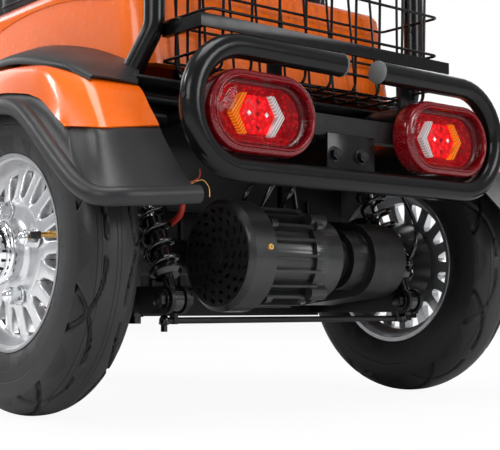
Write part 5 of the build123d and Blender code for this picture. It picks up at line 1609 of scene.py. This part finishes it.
@dataclass
class Fender:
    """Orange rear fender, grained flare below it and the rolled lip, smooth along measured lines.

    Each line is a list of (ahead of the axle, to the left, above the floor) in millimetres.
    """

    inner: Tuple[Point, ...] = (
        (268, 300, 322), (225, 300, 405), (170, 300, 462), (110, 300, 476), (45, 300, 478), (-40, 300, 470),
        (-105, 300, 455), (-151, 300, 433), (-175, 300, 404), (-197, 300, 377))
    second: Tuple[Point, ...] = (
        (268, 388, 322), (225, 388, 405), (170, 388, 461), (110, 388, 475), (45, 388, 477), (-40, 386, 469),
        (-100, 382, 456), (-146, 379, 436), (-178, 385, 401), (-206, 391, 364))
    crease: Tuple[Point, ...] = (
        (266, 404, 321), (222, 405, 400), (168, 405, 455), (106, 405, 469), (42, 405, 471), (-42, 405, 464),
        (-80, 405, 457), (-104, 405, 440), (-129, 406, 409), (-154, 408, 370))
    seam: Tuple[Point, ...] = (
        (262, 414, 318), (205, 414, 378), (140, 414, 420), (85, 414, 431), (20, 414, 435), (-51, 413, 425),
        (-72, 413, 419), (-95, 413, 410), (-122, 413, 391), (-151, 412, 370))
    rear_seam: Tuple[Point, ...] = (
        (-154, 409, 369), (-180, 400, 366), (-206, 391, 363), (-204, 345, 370), (-197, 300, 377))
    lip: Tuple[Point, ...] = (
        (262, 439, 322), (200, 439, 376), (135, 439, 404), (75, 439, 410), (10, 439, 412), (-48, 439, 406),
        (-84, 439, 396), (-118, 439, 374), (-158, 439, 342), (-205, 439, 305))
    rear_lip: Tuple[Point, ...] = (
        (-236, 437, 284), (-262, 430, 273), (-279, 405, 273), (-281, 352, 277), (-281, 301, 282))
    wall: float = 2.6
    corner: float = 9.0

    def across(self, a: Vector, b: Vector, c: Vector, d: Vector) -> List[Vector]:
        """A cross-section through four points with its two middle corners rounded.

        Args:
            a: the inner end.
            b: the first corner.
            c: the second corner.
            d: the outer end.

        Returns:
            The row of points.
        """
        row = [a.lerp(b, t) for t in (0.0, 0.2, 0.4, 0.6, 0.75, 0.86)]
        for before, corner, after in ((a, b, c), (b, c, d)):
            near, far = (
                corner + (end - corner).normalized() * min(self.corner * MM, 0.3 * (end - corner).length)
                for end in (before, after))
            row += [near, near.lerp(corner, 0.5).lerp(corner.lerp(far, 0.5), 0.5), far]
        return row + [c.lerp(d, t) for t in (0.5, 0.7, 0.85, 1.0)]

    def sweep(self, a: Vector, b: Vector, sag: Vector) -> List[Vector]:
        """A cross-section that drops from the seam and sweeps out to the lip."""
        return arch(a, a.lerp(b, 0.5) + sag, b, 10)

    def build(self, word: str, side: int) -> None:
        """Builds one side's fender and flare in place of their nodes.

        Args:
            word: left or right.
            side: 1 for the left, -1 for the right.
        """
        lines = [measured(points, side) for points in (self.inner, self.second, self.crease, self.seam)]
        shell = Shape(Look.ORANGE)
        shell.sheet([self.across(*four) for four in zip(*lines)], self.wall)
        shell.piece(f"fender_shell_{word}", "chassis", (f"fender_{word}",), sharp=55.0)
        flare = Shape(Look.FLARE)
        seam = measured(self.seam + self.rear_seam, side)
        lip = measured(self.lip + self.rear_lip, side)
        rows = []
        for index, (high, low) in enumerate(zip(seam, lip)):
            rear = min(1.0, max(0.0, (index - 60.0) / 22.0))
            inward = Vector((0.004 + 0.006 * rear, -side * 0.010 * (1 - rear), -0.005 * (1 - rear)))
            tuck = high + Vector((0.0035 * rear, -side * (0.003 - 0.001 * rear), -0.001))
            rows.append([tuck + Vector((0.004 + 0.006 * rear, -side * 0.004, 0.006))] +
                        self.sweep(tuck, low, inward))
        flare.sheet(rows, self.wall)
        flare.hose(lip[::4] + [lip[-1]], 11.6, 20)
        flare.piece(f"flare_skin_{word}", "chassis", (f"flare_{word}",), sharp=60.0)


@dataclass
class Pads:
    """The dark caps on top of both fenders, swept from the body to a crisp outer edge."""

    high: Tuple[Point, ...] = (
        (258, 262.5, 520), (240, 262.5, 541), (205, 262.5, 552), (160, 262.5, 549), (110, 262.5, 541),
        (55, 262.5, 529), (0, 262.5, 513), (-72, 262.5, 486), (-112, 275, 466), (-150, 302, 437))
    low: Tuple[Point, ...] = (
        (258, 397, 352), (235, 397, 396), (200, 397, 440), (160, 397, 466), (110, 397, 476),
        (45, 397, 479), (-12, 397, 473), (-74, 395, 459), (-114, 388, 449), (-153, 376, 431))

    def build(self) -> None:
        """Builds both caps in place of their node."""
        shape = Shape(Look.FLARE)
        for side in (1, -1):
            rows = []
            for a, b in zip(measured(self.high, side, 6), measured(self.low, side, 6)):
                full = min(1.0, (a - b).length / 0.16) ** 2
                ridge = b + Vector((0, -side * 0.004, 0.006 + 0.007 * full))
                hump = a.lerp(ridge, 0.55) + Vector((0, side * 0.008, 0.014)) * full
                rows.append(arch(a, hump, ridge, 9) + [
                    ridge.lerp(b, 0.3) + mm(0, side * 2.5, 0), b.lerp(ridge, 0.12) + mm(0, side * 1.5, 0), b])
            shape.sheet(rows, 2.5)
        shape.piece("fender_caps", "chassis", ("fender_pads",), sharp=60.0)


@dataclass
class UnderBody:
    """What hides round the motor: mud guard, cables, hoses, the stepped nut and hanging bolts."""

    runs: Tuple[Tuple[Look, float, int, Tuple[Point, ...]], ...] = (
        (Look.SPRING, 4.2, 10, ((-92, 40, 292), (-104, 26, 330), (-96, -6, 344), (-80, -34, 322),
                                (-74, -44, 296), (-60, -50, 292))),
        (Look.SPRING, 3.6, 10, ((-70, 66, 288), (-84, 60, 318), (-66, 30, 340), (-40, 10, 352),
                                (-10, 0, 372))),
        (Look.SPRING, 3.0, 10, ((-100, 12, 290), (-118, 4, 316), (-104, -24, 336), (-78, -52, 330),
                                (-40, -60, 352))),
        (Look.SPRING, 3.4, 10, ((-60, -262, 372), (-92, -266, 330), (-124, -262, 280), (-132, -250, 240),
                                (-108, -248, 214), (-78, -252, 222))),
        (Look.SPRING, 2.6, 10, ((-24, -244, 300), (-58, -256, 262), (-96, -262, 236), (-120, -256, 214),
                                (-100, -246, 200))),
        (Look.SPRING, 3.0, 10, ((-20, 246, 330), (-62, 262, 296), (-82, 262, 250), (-60, 252, 214))),
        (Look.RED_WIRE, 4.6, 10, ((-84, 200, 312), (-104, 201, 300), (-111, 200, 285), (-102, 199, 271),
                                  (-80, 198, 262))),
        (Look.RED_WIRE, 0.8, 6, ((-238, 298, 298), (-243, 284, 301), (-242, 270, 308), (-230, 260, 320))),
        (Look.BRASS, 0.7, 6, ((-236, 278, 300), (-243, 266, 305), (-246, 258, 296), (-244, 255, 284))),
    )

    def guard(self) -> None:
        """A ribbed black mud guard ahead of the axle."""
        shape = Shape(Look.SATIN)
        shape.block(at(92.0, -305.0, 150.0), at(96.0, 258.0, 470.0), 1.0)
        for y in range(-220, 221, 55):
            shape.block(at(86.0, y - 4.0, 160.0), at(92.5, y + 4.0, 330.0), 1.0)
        shape.piece("mud_guard", "chassis", bevel=0.5)

    def cables(self) -> None:
        """Motor cables, brake hoses and the red loop on the left, each fixed at both ends."""
        shape = Shape(Look.SPRING)
        for look, radius, steps, run in self.runs:
            shape.wear(look).hose([at(*point) for point in run], radius, steps)
        shape.piece("fixed_cables", "chassis", sharp=60.0)

    def fittings(self) -> None:
        """The stepped brass nut at the motor's end and the hanging bolts below."""
        shape = Shape(Look.CASTING).wear(Look.BOLT)
        for side in (1, -1):
            for y, z in ((292.0, 140.0), (262.0, 139.0)):
                shape.rods(at(-88.0, side * y, z), -UP, (0, 6, 10.0, 24), (6, 13, 7.4, 6))
        shape.wear(Look.BRASS)
        for y, reach, radius, steps in ((-12.0, 9.0, 10.0, 6), (-21.0, 8.0, 8.2, 28), (-29.0, 10.0, 6.4, 28),
                                        (-39.0, 6.0, 8.6, 6)):
            shape.rod(at(-163.0, y, 212.0), at(-163.0, y - reach, 212.0), radius, steps)
        shape.piece("under_body_fittings", "chassis", bevel=0.3)

    def build(self) -> None:
        """Builds all of it."""
        self.guard()
        self.cables()
        self.fittings()


@dataclass
class Cockpit:
    """Chromed bar, ribbed grips, levers, switches, mirrors and the dash screen."""

    bar: Tuple[Point, ...] = (
        (844.0, -126.0, -334.0), (846.0, -44.0, -196.0), (800.0, 0.0, -92.0),
        (800.0, 0.0, 92.0), (846.0, -44.0, 196.0), (844.0, -126.0, 334.0))

    def ends(self, side: int) -> Tuple[Vector, Vector]:
        """The bar's end on one side and the direction towards it.

        Args:
            side: 1 for the left, -1 for the right.

        Returns:
            The end and the direction.
        """
        (s, ahead, y), (bend_s, bend_ahead, bend_y) = self.bar[-1], self.bar[-2]
        tip = on_stem(s, ahead, side * y)
        return tip, (tip - on_stem(bend_s, bend_ahead, side * bend_y)).normalized()

    def grips(self) -> None:
        """Rubber grips with rings and a flange at each end."""
        shape = Shape(Look.RUBBER)
        for side in (1, -1):
            tip, way = self.ends(side)
            shape.rods(tip, way, (-112, 2, 15.2, 32), (-112, -107, 17.0, 32), (-2, 4, 17.0, 32, 15.0))
            for ring in range(13):
                shape.rods(tip - way * (100 - ring * 7.2) * MM, way, (0, 3.4, 16.6, 32))
        shape.piece("ribbed_grips", "steering", ("grips",), bevel=0.6)

    def controls(self) -> None:
        """Housings, brake levers, switches and mirror sockets."""
        shape = Shape(Look.SATIN)
        for side in (1, -1):
            tip, way = self.ends(side)
            inner, outer = tip - way * 140 * MM, tip - way * 114 * MM
            middle = (inner + outer) / 2
            shape.rod(inner, outer, 18.8, 32)
            shape.rods(middle, UP, (0, 30, 8.8), (24, 30, 9.0, 6))
            reach, end = inner + mm(46, 0, -6), tip + mm(44, -side * 6, -10)
            shape.rod(middle, reach, 7.0, 16)
            shape.wear(Look.SILVER).ball(reach, 7.0, (1, 1, 0.8), 16)
            shape.hose([reach, reach.lerp(end, 0.35) + mm(4, 0, 0), reach.lerp(end, 0.75), end], 4.8, 14)
            shape.ball(end, 5.8, (1, 1, 1), 14)
            shape.wear(Look.RED_WIRE if side < 0 else Look.AMBER)
            button = middle - mm(17.5, 0, -5)
            shape.rod(button, button - mm(3.5, 0, -0.5), 4.6, 18, 4.2)
            shape.wear(Look.BOLT).rods(middle, -UP, (18.5, 20, 3.4, 12))
            shape.wear(Look.SATIN)
        shape.piece("levers_and_switches", "steering", ("hand_controls",), bevel=0.6)

    def mirrors(self) -> None:
        """Mirrors with a shell, a rim and silvered glass."""
        shape = Shape(Look.SATIN)
        for side in (1, -1):
            tip, way = self.ends(side)
            foot = tip - way * 127 * MM + mm(0, 0, 30.3)
            knee = foot + mm(0, 0, 50)
            shape.rods(foot, UP, (0, 9, 7.4, 6))
            shape.pipe([foot, knee, knee + Vector((14, side * 78, 74)) * MM], 5.0, 30.0, 16)
            head = foot + Vector((10, side * 96, 138)) * MM
            outline = []
            for index in range(44):
                turn = index * 2 * math.pi / 44
                y, z = math.cos(turn), math.sin(turn)
                outline.append(head + Vector((0, (17 if y > 0 else -17) + 39 * y, 39 * z)) * MM)
            shape.slab(outline, mm(13.5, 0, 0), 3.0)
            glass = [head.lerp(p, 0.90) - mm(0.35, 0, 0) for p in outline]
            shape.wear(Look.MIRROR).slab(glass, mm(0.6, 0, 0)).wear(Look.SATIN)
        shape.piece("mirror_pair", "steering", ("mirrors",), sharp=50.0)

    def screen(self) -> None:
        """A dark glass, two keys and a key switch on the dash pod."""
        shape = Shape(SCREEN)
        top = 892.3
        corners = [(-14.0, -36.0), (30.0, -36.0), (30.0, 36.0), (-14.0, 36.0)]
        wall = on_stem(top + 1.2, 0, 0) - on_stem(top, 0, 0)
        shape.slab([on_stem(top, a, y) for a, y in corners], wall, 0.4)
        # the key switch's slot is a disc of painted shade
        for look, y, low, high, *form in (
                (Look.RUBBER, -26.0, -0.2, 2.2, 6.0, 24, 5.4), (Look.RUBBER, 26.0, -0.2, 2.2, 6.0, 24, 5.4),
                (Look.CHROME, 0, -0.2, 2.6, 8.0, 28, 7.4), (Look.HOLE_SHADE, 0, 2.5, 2.9, 2.2, 4)):
            shape.wear(look).rod(on_stem(top + low, -27.0, y), on_stem(top + high, -27.0, y), *form)
        shape.piece("dash_screen", "steering", bevel=0.2)

    def build(self) -> None:
        """Builds the bar and everything on it."""
        shape = Shape(Look.CHROME)
        shape.pipe([on_stem(*p) for p in self.bar], 11.0, 45.0, 24)
        shape.piece("chromed_bar", "steering", ("handlebar",), sharp=50.0)
        self.grips()
        self.controls()
        self.mirrors()
        self.screen()
        hoses = Shape(Look.SATIN)
        for side in (1, -1):
            tip, way = self.ends(side)
            start = tip - way * 142 * MM
            run = [(800.0, 66.0, side * 110.0), (716.0, 48.0, side * 34.0), (650.0, 34.0, side * 14.0)]
            hoses.hose([start, start - way * 40 * MM + Vector((30, 0, 14)) * MM] +
                       [on_stem(*place) for place in run], 2.6, 8)
        hoses.piece("bar_cables", "steering", sharp=60.0)


class FrontLights:
    """Headlamp and the two signals in front."""

    def dome(self, shape: Shape, s: float, y: float, profile: Line) -> None:
        """Turns a section of (radius, ahead) round a line that looks ahead at a place on the stem.

        Args:
            shape: the shape that it is added to.
            s: height up the steering axis.
            y: distance to the left.
            profile: the section, in millimetres.
        """
        up = (on_stem(100.0, 0, 0) - on_stem(0.0, 0, 0)).normalized()
        ahead = (on_stem(0, 100.0, 0) - on_stem(0.0, 0, 0)).normalized()
        points = [on_stem(s, a, y) + up * r * MM for r, a in profile]
        shape.spin(points, on_stem(s, 0, y), ahead, 56, closed=False)

    def build(self) -> None:
        """Builds the lights in place of their nodes."""
        shape = Shape(Look.CHROME)
        self.dome(shape, 606.0, 0.0, [(0.0, 60.2), (61.8, 60.2), (62.0, 107.0), (60.5, 112.0), (57.0, 115.6),
                                      (54.0, 115.6), (52.0, 111.0)])
        shape.wear(GLASS)
        self.dome(shape, 606.0, 0.0, rounded([(52.2, 110.4), (44.0, 112.6), (24.0, 115.0), (0.0, 115.9)], 4))
        shape.piece("headlamp_unit", "chassis", ("headlamp",), sharp=40.0)
        pair = Shape(Look.SATIN)
        for y in (118.0, -118.0):
            pair.wear(Look.SATIN)
            self.dome(pair, 560.0, y, [(0.0, 30.2), (23.8, 30.2), (24.0, 64.0), (22.4, 66.0)])
            pair.wear(Look.AMBER)
            self.dome(pair, 560.0, y, rounded([(22.6, 65.0), (22.0, 76.0), (16.0, 87.0), (0.0, 91.8)], 4))
        pair.piece("signal_pair", "chassis", ("front_signals",), sharp=40.0)


@dataclass
class Upholstery:
    """The seat cushion and backrest in stitched vinyl."""

    pressure: float = 4.0
    voxel: float = 0.006
    limit: float = 0.012
    cloth_quality: int = 4
    cloth_frames: int = 20
    soften_share: float = 0.6
    soften_rounds: int = 6
    seam_step: float = 0.045
    welt: float = 2.2

    def padded(self, name: str, node: str, body: str, shrink: float) -> bpy.types.Object:
        """Swells a cushion from its CAD solid and lets it stand for the node.

        Args:
            name: the piece's name.
            node: the CAD node that it starts from.
            body: the body that carries it.
            shrink: how much smaller than the node it starts, in metres.

        Returns:
            The cushion.
        """
        shape = Shape(Look.VINYL).copy_of(node)
        low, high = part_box(node)
        middle = (low + high) / 2
        size = high - low
        scale = Vector([(s - 2 * shrink) / s for s in size])
        verts = shape.bm.verts[:]
        bmesh.ops.translate(shape.bm, verts=verts, vec=-middle)
        bmesh.ops.scale(shape.bm, verts=verts, vec=scale)
        bmesh.ops.translate(shape.bm, verts=verts, vec=middle)
        piece = shape.piece(name, body, (node,), sharp=180.0)
        remesh = piece.modifiers.new("skin", "REMESH")
        remesh.mode = "VOXEL"
        remesh.voxel_size = self.voxel
        self.apply(piece)
        self.swell(piece)
        soften = piece.modifiers.new("soften", "SMOOTH")
        soften.factor = self.soften_share
        soften.iterations = self.soften_rounds
        self.apply(piece)
        return piece

    def apply(self, piece: bpy.types.Object) -> None:
        """Applies a piece's modifiers to its mesh.

        Args:
            piece: the piece.
        """
        bpy.context.view_layer.update()
        baked = bpy.data.meshes.new_from_object(piece.evaluated_get(bpy.context.evaluated_depsgraph_get()))
        piece.modifiers.clear()
        piece.data = baked
        baked.shade_smooth()

    def swell(self, piece: bpy.types.Object) -> None:
        """Runs the cloth pressure and caps how far each point moves.

        Args:
            piece: the cushion.
        """
        rest = [v.co.copy() for v in piece.data.vertices]
        cloth = piece.modifiers.new("cloth", "CLOTH")
        cloth.settings.use_pressure = True
        cloth.settings.uniform_pressure_force = self.pressure
        cloth.settings.effector_weights.gravity = 0.0
        cloth.settings.quality = self.cloth_quality
        scene = bpy.context.scene
        for frame_number in range(1, self.cloth_frames + 1):
            scene.frame_set(frame_number)
        self.apply(piece)
        for vert, start in zip(piece.data.vertices, rest):
            move = vert.co - start
            if move.length > self.limit:
                vert.co = start + move.normalized() * self.limit
        scene.frame_set(1)

    def seams(self, name: str, pad: bpy.types.Object, lines: Sequence[Sequence[Vector]],
              radius: float) -> None:
        """Lays welts on a cushion.

        Args:
            name: the piece's name.
            pad: the cushion that they lie on.
            lines: lines near its surface; each point is moved onto it.
            radius: the welt's radius in millimetres.
        """
        bm = bmesh.new()
        bm.from_mesh(pad.data)
        tree = BVHTree.FromBMesh(bm)
        bm.free()
        shape = Shape(Look.VINYL)
        for line in lines:
            on_skin = []
            for a, b in zip(line, line[1:]):
                parts = max(1, round((b - a).length / self.seam_step))
                on_skin += [tree.find_nearest(a.lerp(b, i / parts))[0] for i in range(parts)]
            on_skin.append(tree.find_nearest(line[-1])[0])
            shape.hose(on_skin, radius, 8)
        shape.piece(name, "seat", sharp=70.0)

    def build(self) -> None:
        """Builds the soft pieces and their seams."""
        cushion = self.padded("seat_cushion_pad", "seat_cushion", "seat", 0.006)
        backrest = self.padded("backrest_pad", "backrest", "seat", 0.006)
        round_seat = ((26, 0), (26, 200), (50, 222), (410, 222), (433, 196), (433, -196), (410, -222),
                      (50, -222), (26, -200), (26, 0))
        lines = [[at(dx, y, z) for dx, y in round_seat] for z in (735.0, 668.0)]
        lines += [[at(dx, -205, 760), at(dx, 205, 760)] for dx in (120.0, 225.0, 330.0)]
        self.seams("cushion_seams", cushion, lines, self.welt)
        half = [(90, 0, 782), (90, 190, 782), (84, 206, 800), (50, 206, 1060), (40, 185, 1092)]
        lines = [[at(*p) for p in half] + [at(dx, -y, z) for dx, y, z in reversed(half)]]
        lines += [[at(95, y, 790), at(90, y, 900), at(60, y, 1088)] for y in (-72.0, 72.0)]
        self.seams("backrest_seams", backrest, lines, self.welt)


@dataclass(frozen=True)
class Coat:
    """How one CAD node is dressed where its own shape stays."""

    node: str
    look: Look
    bevel: float = 0.8


class PlainPieces:
    """The nodes whose CAD shape stays, with rounded edges and a real finish."""

    coats: Tuple[Coat, ...] = (
        Coat("frame", Look.FRAME), Coat("battery_pack", Look.SATIN), Coat("floorboard", Look.SATIN, 1.5),
        Coat("floor_mat", Look.RUBBER), Coat("seat_pedestal", Look.ORANGE, 2.0),
        Coat("rear_liner", Look.SATIN), Coat("lamp_bracket", Look.FRAME), Coat("basket_carrier", Look.TUBE),
        Coat("axle_housing", Look.CASTING), Coat("motor_body", Look.MOTOR, 0.6),
        Coat("motor_cover", Look.MOTOR, 0.6), Coat("swing_arm", Look.FRAME),
        Coat("front_shield", Look.ORANGE, 1.5), Coat("inner_shield", Look.SATIN, 1.2),
        Coat("seat_frame", Look.FRAME), Coat("armrest_left", Look.RUBBER, 1.5),
        Coat("armrest_right", Look.RUBBER, 1.5), Coat("fork", Look.FRAME),
        Coat("front_fender", Look.ORANGE, 1.0), Coat("dash_pod", Look.SATIN, 2.0),
        Coat("brake_drum_left", Look.CASTING), Coat("brake_drum_right", Look.CASTING),
    )

    def build(self) -> None:
        """Dresses every node that no other class replaces."""
        for coat in self.coats:
            shape = Shape(coat.look).copy_of(coat.node)
            shape.piece(f"{coat.node}_dressed", BODY_OF[coat.node], (coat.node,), coat.bevel, closed=False)


def main() -> None:
    """Builds the studio and every piece."""
    logging.basicConfig(level=logging.INFO, format="%(relativeCreated)6d ms %(message)s")
    scene = bpy.context.scene
    scene.view_settings.view_transform = "Standard"
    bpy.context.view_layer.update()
    lamp, fender = TailLamp(), Fender()
    Studio().build()
    Wheels(Tyre(), Rim(), Hub()).build()
    lamp.build("left", 1)
    lamp.build("right", -1)
    lamp.optics()
    Bumper().build()
    Basket().build()
    Suspension().build()
    Motor().build()
    fender.build("left", 1)
    fender.build("right", -1)
    for assembly in (Pads(), UnderBody(), Cockpit(), FrontLights(), Upholstery(), PlainPieces()):
        assembly.build()
    bpy.context.view_layer.update()


if __name__ == "__main__":
    main()
